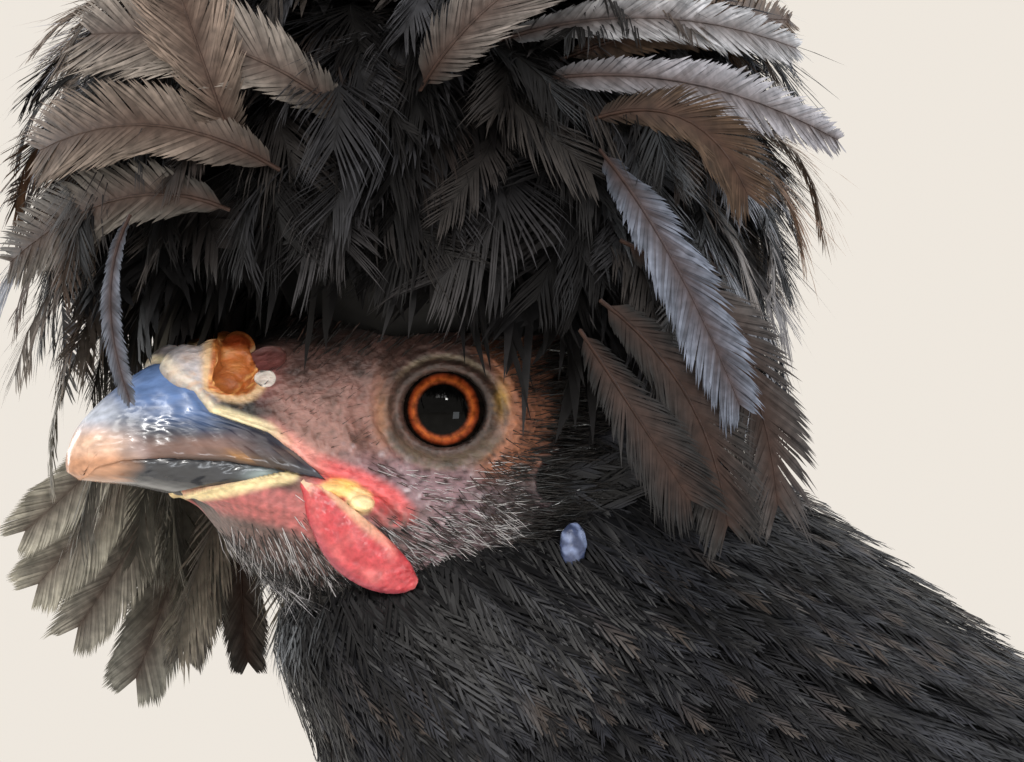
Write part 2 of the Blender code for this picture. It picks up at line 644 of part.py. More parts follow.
def tail():
    """Tail feathers spread from the rump in two halves like a roof, with coverts over their roots."""
    core = ellipsoid("tail", TAIL_ROOT, TAIL_CORE_R, "plumage", sides=14, rings=7)
    pieces = []
    rows = [(7, 122.0, 3.2, 42.0, 5.6, 3.0, 12.5, 0.0), (3, 70.0, 3.0, 44.0, 11.0, 5.0, 12.0, 4.0)]
    for row, (count, length, shorten, rise, spread, lower, half, over) in enumerate(rows):
        for i in range(count):
            for side in (1, -1):
                turn = math.radians(2.5 + spread * i)
                slope = math.radians(rise - lower * i)
                share = VANE_STATIONS
                long = (length - shorten * i) * MM
                ahead = np.array([math.sin(turn) * math.cos(slope), math.cos(turn) * math.cos(slope), math.sin(slope)])
                roll = math.radians(24 + 6.5 * i)
                up = np.array([math.sin(roll), -0.3 * math.cos(roll), math.cos(roll)])
                root = TAIL_ROOT + np.array([(1.6 + 1.5 * i) * MM, 0, (over + 3.0 - 2.1 * i) * MM])
                line = root + np.outer(share * long, ahead) - np.outer(share**2 * long * 0.06, up)
                across, out = frames(line, np.tile(up, (len(share), 1)))
                pieces.append(vane(f"tail_{row}_{i}_{side}", mirrored(line, side), mirrored(across, side),
                                   mirrored(out, side), half * MM, 1.2 * VANE_THICK, 0.8 * MM))
    fuse(core, pieces)
    return cut(core, [torso_form(GAP)])


def thigh_form(name, side, grow=0.0):
    """The feathered thigh, from inside the body to just above the hock."""
    rings = []
    turn = np.arange(16) * 2 * math.pi / 16
    for z, y, half_y, half_x in smooth(THIGH, np.linspace(0, len(THIGH) - 1, 10)):
        ring = [THIGH_MID_X + (half_x + grow) * np.cos(turn), y + (half_y + grow) * np.sin(turn), np.full(16, z)]
        rings.append(mirrored(np.column_stack(ring), side))
    return capped(name, rings, "plumage")


def tube_ring(middle, along, radii, sides=10):
    """A ring of two radii square to a direction: the first lies level, the second upright."""
    along = along / np.linalg.norm(along)
    level = np.cross(along, [0, 0, 1])
    if np.linalg.norm(level) < 0.05:
        level = np.array([1.0, 0, 0])
    level /= np.linalg.norm(level)
    upright = np.cross(level, along)
    turn = np.arange(sides) * 2 * math.pi / sides
    return middle + np.outer(np.cos(turn) * radii[0], level) + np.outer(np.sin(turn) * radii[1], upright)


def shank_line():
    """The direction of the shank, from the hock to the ankle."""
    return (ANKLE - HOCK) / np.linalg.norm(ANKLE - HOCK)


def shank(side):
    """The scaled shank: a knuckle at the hock, then a row of overlapping scutes down to the ankle."""
    along = shank_line()
    long = np.linalg.norm(ANKLE - HOCK)
    radius_at = ([0, 0.10, 0.24, 0.6, 0.88, 1.0], [8.0, 8.4, 6.0, 5.4, 6.0, 7.0])
    turn = np.arange(10) * 2 * math.pi / 10
    top = np.column_stack([8.0 * MM * np.cos(turn), 8.6 * MM * np.sin(turn), np.zeros(10)])
    rings = [top + HOCK * [1, 1, 0] + [0, 0, THIGH[-1][0] - GAP]]
    for i in range(SCUTES):
        for share, step in ((i + 0.12, 0.45), (i + 0.98, 0.0)):
            share = 0.055 + 0.945 * share / SCUTES
            radius = (np.interp(share, *radius_at) + step) * MM
            rings.append(tube_ring(HOCK + along * long * share, along, (radius * 0.94, radius * 1.08), 10))
    rings = [align(rings[0], rings[1])] + rings[1:]
    name = "shank_left" if side > 0 else "shank_right"
    return capped(name, mirrored(rings, side), "leg_skin")


def align(ring, other):
    """Renumbers a ring so that its points lie beside those of the next, going the same way round."""
    best, found = None, np.inf
    for turned in (ring, ring[::-1]):
        for k in range(len(ring)):
            rolled = np.roll(turned, k, axis=0)
            far = np.linalg.norm(rolled - other, axis=1).sum()
            if far < found:
                best, found = rolled, far
    return best


def toe_path(toe):
    """Middles of a toe from the foot to its end, and the way it points."""
    turn = math.radians(TOES[toe]["turn"])
    ahead = np.array([math.sin(turn), -math.cos(turn), 0.0])
    start = np.array([ANKLE[0], ANKLE[1] - 3 * MM, 0])
    share = np.linspace(0, 1, 7)
    long = TOES[toe]["length"] * MM
    heights = np.interp(share, [0, 0.3, 1], [7.2, 4.4, 3.3]) * MM
    if toe == "hind":
        heights = np.interp(share, [0, 0.6, 1], [9.5, 4.2, 3.4]) * MM
    line = start + np.outer(share * long + 1 * MM, ahead)
    line[:, 2] = heights
    return line, share


def toe_radius(share, toe):
    """A toe is knuckled: pads swell between its joints."""
    swell = 1 + 0.08 * np.cos(share * 2 * math.pi * (2.5 if toe != "hind" else 1.0))
    return np.interp(share, [0, 0.25, 1], [5.0, 4.6, 3.4]) * swell * MM


def foot(side):
    """The toes, the pad that joins them and the ankle, cut flat where they stand on the floor."""
    along = shank_line()
    base = ANKLE + along * GAP
    ankle = [tube_ring(base + along * long * MM, along, (r * MM, r * 1.1 * MM), 12)
             for long, r in ((0, 6.9), (5, 6.6), (9, 5.0))]
    name = "foot_left" if side > 0 else "foot_right"
    whole = capped(name, mirrored(ankle, side), "leg_skin")
    pad = mirrored(np.array([ANKLE[0], ANKLE[1] - 3 * MM, 5.2 * MM]), side)
    pieces = [ellipsoid("pad", pad, np.array([8.4, 8.8, 5.8]) * MM, "leg_skin", 12, 6)]
    for toe in TOES:
        line, share = toe_path(toe)
        along_toe = np.gradient(line, axis=0)
        along_toe[-1] = along_toe[-2]
        radius = toe_radius(share, toe)
        rings = [tube_ring(line[i], along_toe[i], (radius[i] * 0.95, radius[i]), 8) for i in range(len(line))]
        pieces.append(capped(f"toe_{toe}", mirrored(rings, side), "leg_skin"))
    fuse(whole, pieces)
    floor = np.array([[-60, -30], [90, -30], [90, 0], [-60, 0]]) * MM + [ANKLE[1] - 40 * MM, 0]
    return cut(whole, [prism("floor", floor, 90 * MM, "leg_skin")])


def claw(side, toe):
    """A curved claw past the end of a toe, its tip just off the floor."""
    line, share = toe_path(toe)
    along = (line[-1] - line[-2]) * [1, 1, 0]
    along /= np.linalg.norm(along)
    long = TOES[toe]["claw"] * MM
    start = line[-1] + along * GAP
    rings, radii = [], [2.2, 2.3, 1.7, 1.0]
    for i, radius in enumerate(radii):
        step = i / len(radii)
        middle = start + along * long * step + np.array([0, 0, (0.9 * math.sin(step * math.pi) - 1.9 * step**2) * MM])
        rings.append(tube_ring(middle, along - [0, 0, 0.35 * step], (radius * 0.8 * MM, radius * MM), 8))
    tip = start + along * long - [0, 0, 2.3 * MM]
    name = f"claw_{toe}_{'left' if side > 0 else 'right'}"
    rings, tip = mirrored(rings, side), mirrored(tip, side)
    return loft(name, rings, rings[0].mean(axis=0), tip, "claw")


def wattle(side):
    """A small soft wattle that hangs from the corner of the mouth down the cheek."""
    table = smooth(WATTLE, np.linspace(0, len(WATTLE) - 1, 8))
    line = np.column_stack([table[:, 2], table[:, 0], table[:, 1]])
    across, out = frames(line, np.tile([0.93, -0.25, -0.28], (len(line), 1)))
    turn = np.arange(8) * 2 * math.pi / 8
    rings = []
    for i, half in enumerate(table[:, 3]):
        thick = WATTLE_THICK * (0.55 + 0.45 * half / table[:, 3].max())
        rings.append(line[i] + np.outer(np.cos(turn) * half, across[i]) + np.outer(np.sin(turn) * thick, out[i]))
    name = "wattle_left" if side > 0 else "wattle_right"
    made = capped(name, mirrored(rings, side) + EYE_MID, "wattle_skin")
    return cut(made, [head_form(GAP), neck_form(GAP)])


def ear_lobe(side):
    """The pale lobe under the ear."""
    name = "lobe_left" if side > 0 else "lobe_right"
    made = ellipsoid(name, mirrored(LOBE, side) + EYE_MID, LOBE_R, "lobe_skin", 10, 6)
    return cut(made, [head_form(GAP), neck_form(GAP)] + face_pieces(GAP))


def centre_over_floor(things):
    """Moves the hen so that the middle of its outline, seen from above, is over the origin."""
    points = np.concatenate([[v.co[:] for v in thing.data.vertices] for thing in things])
    middle = (points.min(axis=0) + points.max(axis=0)) / 2
    for thing in things:
        for vertex in thing.data.vertices:
            vertex.co.x -= middle[0]
            vertex.co.y -= middle[1]


def main():
    clear_scene()
    made = head_nodes()
    neck = cut(neck_form(), [head_form(GAP)] + face_pieces(GAP))
    torso = torso_form()
    cut(torso, [thigh_form("socket", side, GAP) for side in (1, -1)])
    made += [neck, torso, crest(), tail()]
    for side, word in ((1, "left"), (-1, "right")):
        made += [eye_ball(f"eye_{word}", side), wattle(side), ear_lobe(side), wing(side)]
        made += [thigh_form(f"thigh_{word}", side), shank(side), foot(side)]
        made += [claw(side, toe) for toe in TOES]
    centre_over_floor(made)
    for thing in made:
        finish_smooth(thing)


main()
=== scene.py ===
import math

import bpy
import numpy as np
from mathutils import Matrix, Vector


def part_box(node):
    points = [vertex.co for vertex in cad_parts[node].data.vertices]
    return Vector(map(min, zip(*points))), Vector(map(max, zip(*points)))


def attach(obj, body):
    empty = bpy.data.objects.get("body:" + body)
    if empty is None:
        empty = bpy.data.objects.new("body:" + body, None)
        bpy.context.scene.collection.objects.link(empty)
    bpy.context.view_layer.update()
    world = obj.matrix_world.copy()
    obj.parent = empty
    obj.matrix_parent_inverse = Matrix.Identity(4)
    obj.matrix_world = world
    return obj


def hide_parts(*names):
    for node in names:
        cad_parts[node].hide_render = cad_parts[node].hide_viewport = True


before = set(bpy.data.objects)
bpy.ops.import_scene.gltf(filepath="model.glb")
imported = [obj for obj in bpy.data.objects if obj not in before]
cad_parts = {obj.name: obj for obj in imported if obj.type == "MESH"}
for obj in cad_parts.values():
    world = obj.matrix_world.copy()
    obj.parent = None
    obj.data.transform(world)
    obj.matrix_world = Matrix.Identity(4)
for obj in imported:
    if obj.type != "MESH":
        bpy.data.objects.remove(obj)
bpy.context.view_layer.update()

MM = 0.001

# The viewpoint: level with the hen's eye, off its left cheek and far enough away for a long lens.
# The picture holds the head, the lower half of the crest and the top of the neck, as the photograph does.
BILL_TO_EYE, EYE_HIGH = 38.2, 317.0
EYE_MID = np.array([0.0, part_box("bill_upper")[0][1] / MM + BILL_TO_EYE, EYE_HIGH])
VIEW_TURN = math.radians(67.0)
VIEW_BACK = np.array([math.sin(VIEW_TURN), -math.cos(VIEW_TURN), 0.0])
VIEW_RIGHT = np.array([math.cos(VIEW_TURN), math.sin(VIEW_TURN), 0.0])
VIEW_AWAY, VIEW_AIM = 600.0, EYE_MID + [15.85, -1.2, 3.0] + VIEW_RIGHT * 7.4
# The picture is 1024 pixels wide with its middle at 512, 381, and a pixel is 1/5654 of the distance.
PICTURE_WIDE, PICTURE_MID, PIXELS_AWAY = 1024, (512, 381), 5654
camera_data = bpy.data.cameras.new("view")
camera_data.sensor_width = 36
camera_data.lens = PIXELS_AWAY * camera_data.sensor_width / PICTURE_WIDE
camera_data.clip_start, camera_data.clip_end = 0.05, 50
camera = bpy.data.objects.new("view", camera_data)
bpy.context.scene.collection.objects.link(camera)
camera.location = (VIEW_AIM + VIEW_BACK * VIEW_AWAY) * MM
camera.rotation_euler = Vector(VIEW_BACK).to_track_quat("Z", "Y").to_euler()
bpy.context.scene.camera = camera

# The room: a pale plain floor and a warm white surround. Two wide soft lamps stand before and behind the
# hen, a weak one fills its far side, and two small ones set the spark and the glint in its eye.


def soft_lamp(name, place, width, power, colour):
    """A square area lamp at a place in metres, turned to face the hen's head."""
    lamp_data = bpy.data.lights.new(name, "AREA")
    lamp_data.size = width
    lamp_data.energy = power
    lamp_data.color = colour
    lamp = bpy.data.objects.new(name, lamp_data)
    bpy.context.scene.collection.objects.link(lamp)
    lamp.location = place
    lamp.rotation_euler = (Vector(place) - Vector(EYE_MID * MM)).to_track_quat("Z", "Y").to_euler()


def new_material(name, roughness):
    """A material with one Principled shader, and its tree and shader."""
    made = bpy.data.materials.new(name)
    made.use_nodes = True
    shader = made.node_tree.nodes["Principled BSDF"]
    shader.inputs["Roughness"].default_value = roughness
    return made, made.node_tree, shader


FLOOR = 2.6
floor_mesh = bpy.data.meshes.new("floor")
floor_mesh.from_pydata([(-FLOOR, -FLOOR, 0), (FLOOR, -FLOOR, 0), (FLOOR, FLOOR, 0), (-FLOOR, FLOOR, 0)], [],
                       [(0, 1, 2, 3)])
floor = bpy.data.objects.new("floor", floor_mesh)
bpy.context.scene.collection.objects.link(floor)
pale_floor, _, floor_shader = new_material("pale_floor", 0.7)
floor_shader.inputs["Base Color"].default_value = (0.78, 0.74, 0.68, 1)
floor_mesh.materials.append(pale_floor)
bpy.context.scene.view_settings.view_transform = "Standard"
room = bpy.data.worlds.new("room")
bpy.context.scene.world = room
room.use_nodes = True
room.node_tree.nodes["Background"].inputs["Color"].default_value = (1.0, 0.935, 0.85, 1)
room.node_tree.nodes["Background"].inputs["Strength"].default_value = 0.86
soft_lamp("key", (1.2, -1.0, 1.3), 0.7, 13, (1.0, 0.98, 0.95))
soft_lamp("window", (0.1, 1.3, 1.2), 0.9, 30, (0.86, 0.93, 1.0))
soft_lamp("fill", (-1.3, -1.0, 0.7), 0.9, 14, (0.9, 0.95, 1.0))
spark = EYE_MID + VIEW_BACK * 420 + VIEW_RIGHT * -10 + [0, 0, 150]
soft_lamp("spark", tuple(spark * MM), 0.032, 0.5, (1.0, 0.98, 0.95))
glint = EYE_MID + VIEW_BACK * 400 + VIEW_RIGHT * 130 + [0, 0, -90]
soft_lamp("glint", tuple(glint * MM), 0.10, 0.30, (0.9, 0.95, 1.0))

# The skin of the neck and body, a few millimetres inside the tips of the coat. Each row of sizes is the
# front point (y, z), the back point (y, z) and the half width, from inside the head round to the rump.
BODY = np.array([
    [-111.0, 302.0, -78.0, 321.0, 9.5],
    [-115.0, 293.0, -62.0, 313.0, 15.5],
    [-108.0, 281.0, -46.0, 303.0, 22.5],
    [-106.0, 270.0, -28.0, 290.0, 31.5],
    [-108.0, 254.0, -6.0, 277.0, 43.0],
    [-113.0, 235.0, 16.0, 268.5, 54.0],
    [-117.0, 212.0, 40.0, 263.5, 62.5],
    [-115.0, 188.0, 62.0, 260.5, 67.5],
    [-103.0, 164.0, 83.0, 258.0, 69.0],
    [-80.0, 143.0, 100.0, 254.5, 67.5],
    [-46.0, 127.0, 112.0, 249.0, 63.5],
    [-4.0, 118.0, 120.0, 241.0, 57.0],
    [42.0, 119.0, 124.5, 230.0, 46.5],
    [83.0, 136.0, 125.5, 214.0, 33.0],
    [107.0, 163.0, 123.0, 196.0, 17.0],
    [116.0, 175.0, 119.0, 183.0, 4.0],
])
SHIFT = np.array([0.0, EYE_MID[1] + 100.0, 0.0])
BODY_ROUND = 0.92


def smooth(table, at):
    """A table's rows at fractional row numbers, on a Catmull-Rom curve through them. at may be any shape."""
    at = np.clip(np.asarray(at, float), 0, len(table) - 1)
    low = np.minimum(at.astype(int), len(table) - 2)
    f = (at - low)[..., None]
    before, after = table[np.maximum(low - 1, 0)], table[np.minimum(low + 2, len(table) - 1)]
    a, b = table[low], table[low + 1]
    return (
        (2 * f**3 - 3 * f**2 + 1) * a + (f**3 - 2 * f**2 + f) * (b - before) / 2
        + (3 * f**2 - 2 * f**3) * b + (f**3 - f**2) * (after - a) / 2
    )


def squared(value, power=BODY_ROUND):
    """A cosine or sine to a power that keeps its sign: it makes a section fuller than an ellipse."""
    return np.sign(value) * np.abs(value) ** power


def body_point(at, angle, inset=0.0):
    """A point of the body: half its section's reach times cosine and half width times sine of the angle.

    The angle is 0 at the back and 180 degrees at the front, and inset draws the section in.
    """
    row = smooth(BODY, at)
    reach = (row[..., 2:4] - row[..., 0:2]) / 2
    long = np.linalg.norm(reach, axis=-1)
    draw = np.minimum(inset, 0.8 * np.minimum(long, row[..., 4]))
    reach = reach * (1 - draw / long)[..., None]
    flat = (row[..., 2:4] + row[..., 0:2]) / 2 + reach * squared(np.cos(angle))[..., None]
    side = squared(np.sin(angle)) * (row[..., 4] - draw)
    return np.stack([side, flat[..., 0], flat[..., 1]], axis=-1) + SHIFT


def unit(vectors):
    """Vectors made one long."""
    return vectors / np.maximum(np.linalg.norm(vectors, axis=-1, keepdims=True), 1e-9)


def lie(surface, u, v, step=1e-3):
    """Point, direction along u, and outward normal of a surface, by small differences."""
    u_lo, u_hi = u - step, u + step
    along = unit(surface(u_hi, v) - surface(u_lo, v))
    return surface(u, v), along, unit(np.cross(surface(u, v + step) - surface(u, v - step), along))


def tube(points):
    """Rows of points whose columns wrap round, closed by a fan at each end and facing outwards.

    Returns points, triangles, and each corner's share of the unwrap: along the rows, and round the columns.
    """
    rows, columns = points.shape[:2]
    i, j = np.meshgrid(np.arange(rows - 1), np.arange(columns), indexing="ij")
    i, j = i.ravel(), j.ravel()
    a, b = i * columns + j, i * columns + (j + 1) % columns
    c, d = b + columns, a + columns
    one, k = np.arange(columns), (np.arange(columns) + 1) % columns
    first, last, low = rows * columns, rows * columns + 1, (rows - 1) * columns
    faces = np.concatenate([
        np.stack([a, b, c], -1), np.stack([a, c, d], -1),
        np.stack([np.full(columns, first), k, one], -1),
        np.stack([np.full(columns, last), low + one, low + k], -1),
    ])
    u = np.concatenate([np.stack([i, i, i + 1], -1), np.stack([i, i + 1, i + 1], -1),
                        np.zeros((columns, 3)), np.full((columns, 3), rows - 1)]) / (rows - 1)
    v = np.concatenate([np.stack([j, j + 1, j + 1], -1), np.stack([j, j + 1, j], -1),
                        np.stack([one, one + 1, one], -1), np.stack([one, one, one + 1], -1)]) / columns
    whole = np.concatenate([points.reshape(-1, 3), [points[0].mean(axis=0), points[-1].mean(axis=0)]])
    share = np.stack([u, v], axis=-1)
    if np.linalg.det(whole[faces] - whole.mean(axis=0)).sum() < 0:
        faces, share = faces[:, ::-1], share[:, ::-1]
    return whole, faces, share


def joined(parts):
    """Several sets of points, triangles and corner places as one."""
    starts = np.cumsum([0] + [len(p[0]) for p in parts[:-1]])
    return [np.concatenate([p[0] for p in parts]), np.concatenate([p[1] + s for p,
                                                                   s in zip(parts, starts)]),
            np.concatenate([p[2] for p in parts])]


def piece(name, points, faces, material, corner_uv=None, tint=None, rides=True):
    """A mesh object in metres from arrays in millimetres, with the bake map and a colour for each point."""
    mesh = bpy.data.meshes.new(name)
    sides = faces.shape[1]
    mesh.vertices.add(len(points))
    mesh.vertices.foreach_set("co", (np.asarray(points) * MM).astype(np.float32).ravel())
    mesh.loops.add(faces.size)
    mesh.loops.foreach_set("vertex_index", faces.astype(np.int32).ravel())
    mesh.polygons.add(len(faces))
    mesh.polygons.foreach_set("loop_start", np.arange(0, faces.size, sides, dtype=np.int32))
    mesh.update(calc_edges=True)
    mesh.shade_smooth()
    if corner_uv is not None:
        mesh.uv_layers.new(name="OFBake").data.foreach_set("uv", corner_uv.astype(np.float32).ravel())
    if tint is not None:
        full = np.column_stack([tint, np.ones(len(tint))]).astype(np.float32)
        mesh.attributes.new("tint", "FLOAT_COLOR", "POINT").data.foreach_set("color", full.ravel())
    mesh.materials.append(material)
    made = bpy.data.objects.new(name, mesh)
    bpy.context.scene.collection.objects.link(made)
    if rides:
        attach(made, "root")
    return made


# The bake sheet gives each part of the skin its own place, and whatever grows there its root's place:
# left, low, width and height, each as a share of the sheet.
SHEET = {
    "body": (0.01, 0.37, 0.60, 0.62), "head": (0.64, 0.62, 0.35, 0.37), "crest": (0.64, 0.30, 0.35, 0.30),
    "wing1": (0.01, 0.19, 0.29, 0.16), "wing-1": (0.32, 0.19, 0.29, 0.16), "tail": (0.01, 0.01, 0.29, 0.16),
    "thigh1": (0.32, 0.01, 0.14, 0.16), "thigh-1": (0.48, 0.01, 0.13, 0.16),
    "legs": (0.64, 0.15, 0.35, 0.13), "small": (0.64, 0.01, 0.35, 0.12),
}


def on_sheet(part, shares):
    """Shares of a part's own unwrap, both 0 to 1, as places on the bake sheet."""
    left, low, wide, high = SHEET[part]
    return np.clip(shares, 0, 1) * [wide, high] + [left, low]


def lighter(red, green, blue):
    """A colour read in 0 to 255, as the linear light that shaders take."""
    share = np.array([red, green, blue]) / 255
    return np.where(share <= 0.04045, share / 12.92, ((share + 0.055) / 1.055) ** 2.4)


def mix(base, colour, mask):
    """Base colours turned towards another by a mask from 0 to 1."""
    return base + (np.asarray(colour) - base) * np.clip(mask, 0, 1)[..., None]


def ramp(low, high, value):
    """0 below low and 1 above high, with a soft slope between. low may be above high."""
    t = np.clip((value - low) / (high - low), 0, 1)
    return t * t * (3 - 2 * t)


def ripple(points, size, seed, waves=14):
    """Soft noise from -1 to 1: the mean of sine waves that cross at random, each about size long."""
    random = np.random.default_rng(seed)
    ways = unit(random.normal(size=(waves, 3))) * random.uniform(0.7, 1.5, (waves, 1)) * 2 * np.pi / size
    return np.sin(points @ ways.T + random.uniform(0, 7, waves)).mean(axis=-1) * 2.2


BLACK_SKIN = lighter(24, 22, 22)
body_at, body_angle = np.meshgrid(np.linspace(0.2, 15, 96), np.arange(72) * 2 * np.pi / 72, indexing="ij")
body_depth = np.interp(body_at, [0, 1, 3, 6, 15], [3.0, 3.5, 4.2, 5.0, 5.0])
body_part = tube(body_point(body_at, body_angle, body_depth))
THIGH = np.array([
    [176.0, 0.0, 30.0, 17.0],
    [158.0, 4.0, 36.0, 21.0],
    [140.0, 11.0, 33.0, 20.0],
    [124.0, 18.0, 26.0, 17.5],
    [110.0, 24.0, 19.0, 14.5],
    [99.0, 28.5, 13.0, 11.0],
    [93.5, 30.5, 9.5, 8.5],
])


def thigh_point(at, angle, side=1, inset=0.0):
    """A point of the thigh: an upright row of ellipses that narrow and move back towards the hock."""
    row = smooth(THIGH, at)
    x = 37.0 + (row[..., 3] - inset) * np.cos(angle * side)
    return np.stack([x * side, row[..., 1] + (row[..., 2] - inset) * np.sin(angle * side), row[..., 0]],
                    -1) + SHIFT


thigh_at, thigh_angle = np.meshgrid(np.linspace(0, 6, 28), np.arange(32) * 2 * np.pi / 32, indexing="ij")
thigh_parts = [tube(thigh_point(thigh_at, -thigh_angle, side, 3.0)) for side in (1, -1)]

# The skin of the head: bare on lores, round the eye and on the cheek, black under the feathers elsewhere.
# Rows run from bill to nape and are measured from the point between the eyes:
# y, top, bottom, half width and height of the widest point.
HEAD = np.array([
    [-37.7, -4.6, -6.7, 0.8, -5.7],
    [-36.4, -2.2, -7.2, 2.1, -5.1],
    [-34.0, 0.4, -7.5, 3.5, -4.9],
    [-30.5, 3.1, -7.9, 4.8, -4.9],
    [-27.0, 4.9, -8.6, 5.9, -5.0],
    [-23.0, 5.6, -9.8, 6.9, -5.0],
    [-18.5, 6.6, -14.8, 8.0, -5.2],
    [-13.0, 9.2, -19.0, 9.3, -5.4],
    [-7.0, 12.0, -21.6, 11.2, -5.0],
    [-1.0, 14.6, -22.7, 13.2, -4.0],
    [5.0, 15.8, -23.0, 14.3, -3.6],
    [11.0, 15.2, -22.4, 14.3, -4.0],
    [17.0, 12.6, -20.4, 13.0, -4.4],
    [22.0, 8.0, -16.6, 10.2, -4.6],
    [25.5, 2.5, -11.6, 6.0, -4.6],
    [27.0, -3.5, -5.6, 0.8, -4.6],
])
# In side view (y, z): the line of the mouth, and the edges of the horn of the upper and lower bill.
MOUTH = np.array([
    [-6.5, -9.3], [-9.0, -8.2], [-12.5, -7.0], [-16.0, -6.2], [-22.0, -5.2],
    [-29.0, -4.8], [-33.0, -5.0], [-35.4, -5.7], [-36.6, -7.6],
])
UPPER_EDGE = np.array([[-12.5, -7.0], [-18.1, -2.5], [-24.0, -0.4], [-27.4, 4.8], [-31.0, 12.0]])
LOWER_EDGE = np.array([[-16.0, -6.5], [-25.5, -8.6], [-32.0, -14.0]])
EYE_CENTRE = np.array([10.2, 1.8, 0.0])
EYE_R = 6.4
EYE_TURN = math.radians(62.0)
LOOK = np.array([math.sin(EYE_TURN), -math.cos(EYE_TURN), 0.0])
REARWARD = np.array([math.cos(EYE_TURN), math.sin(EYE_TURN), 0.0])
# How far the skin stands from the middle of the eye along its look, by distance from the line of that look.
LID = np.array([
    [0.0, 1.5], [3.3, 2.2], [4.05, 4.2], [4.2, 5.0], [4.5, 5.45], [4.95, 5.55], [5.4, 5.2], [5.75, 4.72],
    [6.1, 4.66], [6.7, 4.6], [7.2, 4.2], [7.7, 3.95], [8.6, 3.6], [10.5, 3.0],
])


def head_point(at, angle, grow=0.0):
    """A point of the head and bill, from the point between the eyes: half width times the sine of the angle
    across, and the rise or drop times its cosine. The angle is 0 at the crown and 180 degrees at the chin."""
    y, top, bottom, half, middle = np.moveaxis(smooth(HEAD, at), -1, 0)
    up = squared(np.cos(angle))
    height = np.where(up > 0, top - middle + grow, middle - bottom + grow) * up
    return np.stack([squared(np.sin(angle)) * (half + grow), y, middle + height], axis=-1)


def swell(points, middle, radii):
    """Points inside an ellipsoid moved straight out from its middle to its surface."""
    from_mid = (points - middle) / radii
    far = np.linalg.norm(from_mid, axis=-1, keepdims=True)
    return np.where(far < 1, middle + radii * from_mid / np.maximum(far, 0.3), points)


def hollow(points, middle, radii, inward):
    """Points inside an ellipsoid moved along a direction until they lie on its far side."""
    p, d = (points - middle) / radii, np.asarray(inward) / radii
    a, b, c = (d * d).sum(), (p * d).sum(axis=-1), (p * p).sum(axis=-1) - 1
    go = (-b + np.sqrt(np.maximum(b * b - a * c, 0))) / a
    return np.where((c < 0)[..., None], points + go[..., None] * np.asarray(inward), points)


def line_distance(points, line):
    """Distance in side view from points to a broken line (y, z), and how far along the line, from 0 to 1."""
    best, share = np.full(points.shape[:-1], 1e9), np.zeros(points.shape[:-1])
    flat = points[..., 1:]
    for k in range(len(line) - 1):
        a, step = line[k], line[k + 1] - line[k]
        t = np.clip(((flat - a) @ step) / (step @ step), 0, 1)
        far = np.linalg.norm(flat - a - t[..., None] * step, axis=-1)
        share = np.where(far < best, (k + t) / (len(line) - 1), share)
        best = np.minimum(best, far)
    return best, share


def eye_polar(points):
    """Distance from the line of the eye's look, on its slightly oval lids, and the two parts of it."""
    across, up = (points - EYE_CENTRE) @ REARWARD, points[..., 2]
    return np.hypot(across / 1.05, up / 0.95), across, up


head_y = np.concatenate([np.linspace(-37.2, -29.2, 16), np.linspace(-29, 11, 226),
                         np.linspace(11.4, 26.9, 34)])
head_at = np.interp(head_y, HEAD[:, 0], np.arange(len(HEAD)))
half_turn = np.interp(np.arange(140) / 140, [0, 0.13, 0.90, 1], np.radians([0, 42, 162, 180]))
head_turn = np.concatenate([half_turn, 2 * np.pi - np.append(half_turn[1:], np.pi)[::-1]])
head_at, head_turn = np.meshgrid(head_at, head_turn, indexing="ij")
bare, _, head_out = lie(head_point, head_at, head_turn)
side_sign = np.where(bare[..., :1] < 0, -1.0, 1.0)
mirror = np.concatenate([side_sign, np.ones_like(side_sign), np.ones_like(side_sign)], -1)
skin_at, skin_out = bare * mirror, head_out * mirror
start = skin_at.copy()
y, z = start[..., 1], start[..., 2]

# Under the horn the skin sinks away, and at its edge it stands up in a soft rim.
mouth_z = np.interp(y, MOUTH[:-1, 0][::-1], MOUTH[:-1, 1][::-1])
above = z > mouth_z
edge_y = np.where(above, np.interp(z, UPPER_EDGE[:, 1], UPPER_EDGE[:, 0]),
                  np.interp(z, LOWER_EDGE[::-1, 1], LOWER_EDGE[::-1, 0]))
past_edge = y - edge_y
sink = -1.0 * ramp(0.35, -0.5, past_edge) + 0.32 * np.exp(-((past_edge - 0.9) / 0.7) ** 2)
skin_at = skin_at + skin_out * sink[..., None]

# The lids stand round the eye as a rim, with a groove and a second fold outside it.
round_eye, rearward, upward = eye_polar(start)
stand = (start - EYE_CENTRE) @ LOOK
steps = smooth(LID, np.linspace(0, len(LID) - 1, 400))
theta = np.arctan2(upward, rearward)
wrinkles = ripple(np.stack([round_eye, 0.22 * np.cos(theta) * 6, 0.22 * np.sin(theta) * 6], -1), 1.0, 7)
rough = 0.15 * wrinkles + 0.07 * ripple(start, 0.7, 6)
lid_high = np.interp(round_eye, steps[:, 0], steps[:, 1]) + rough * ramp(4.6, 5.6, round_eye)
lid_high = lid_high - 0.35 * ramp(0, -5, upward) * ramp(4.8, 6.2, round_eye)
lid_share = ramp(10.2, 7.3, round_eye) * (stand > -3)
rim = EYE_CENTRE + rearward[..., None] * REARWARD + upward[..., None] * [0, 0, 1]
rim = rim + (stand * (1 - lid_share) + lid_high * lid_share)[..., None] * LOOK
skin_at = np.where((lid_share > 0)[..., None], rim, skin_at)

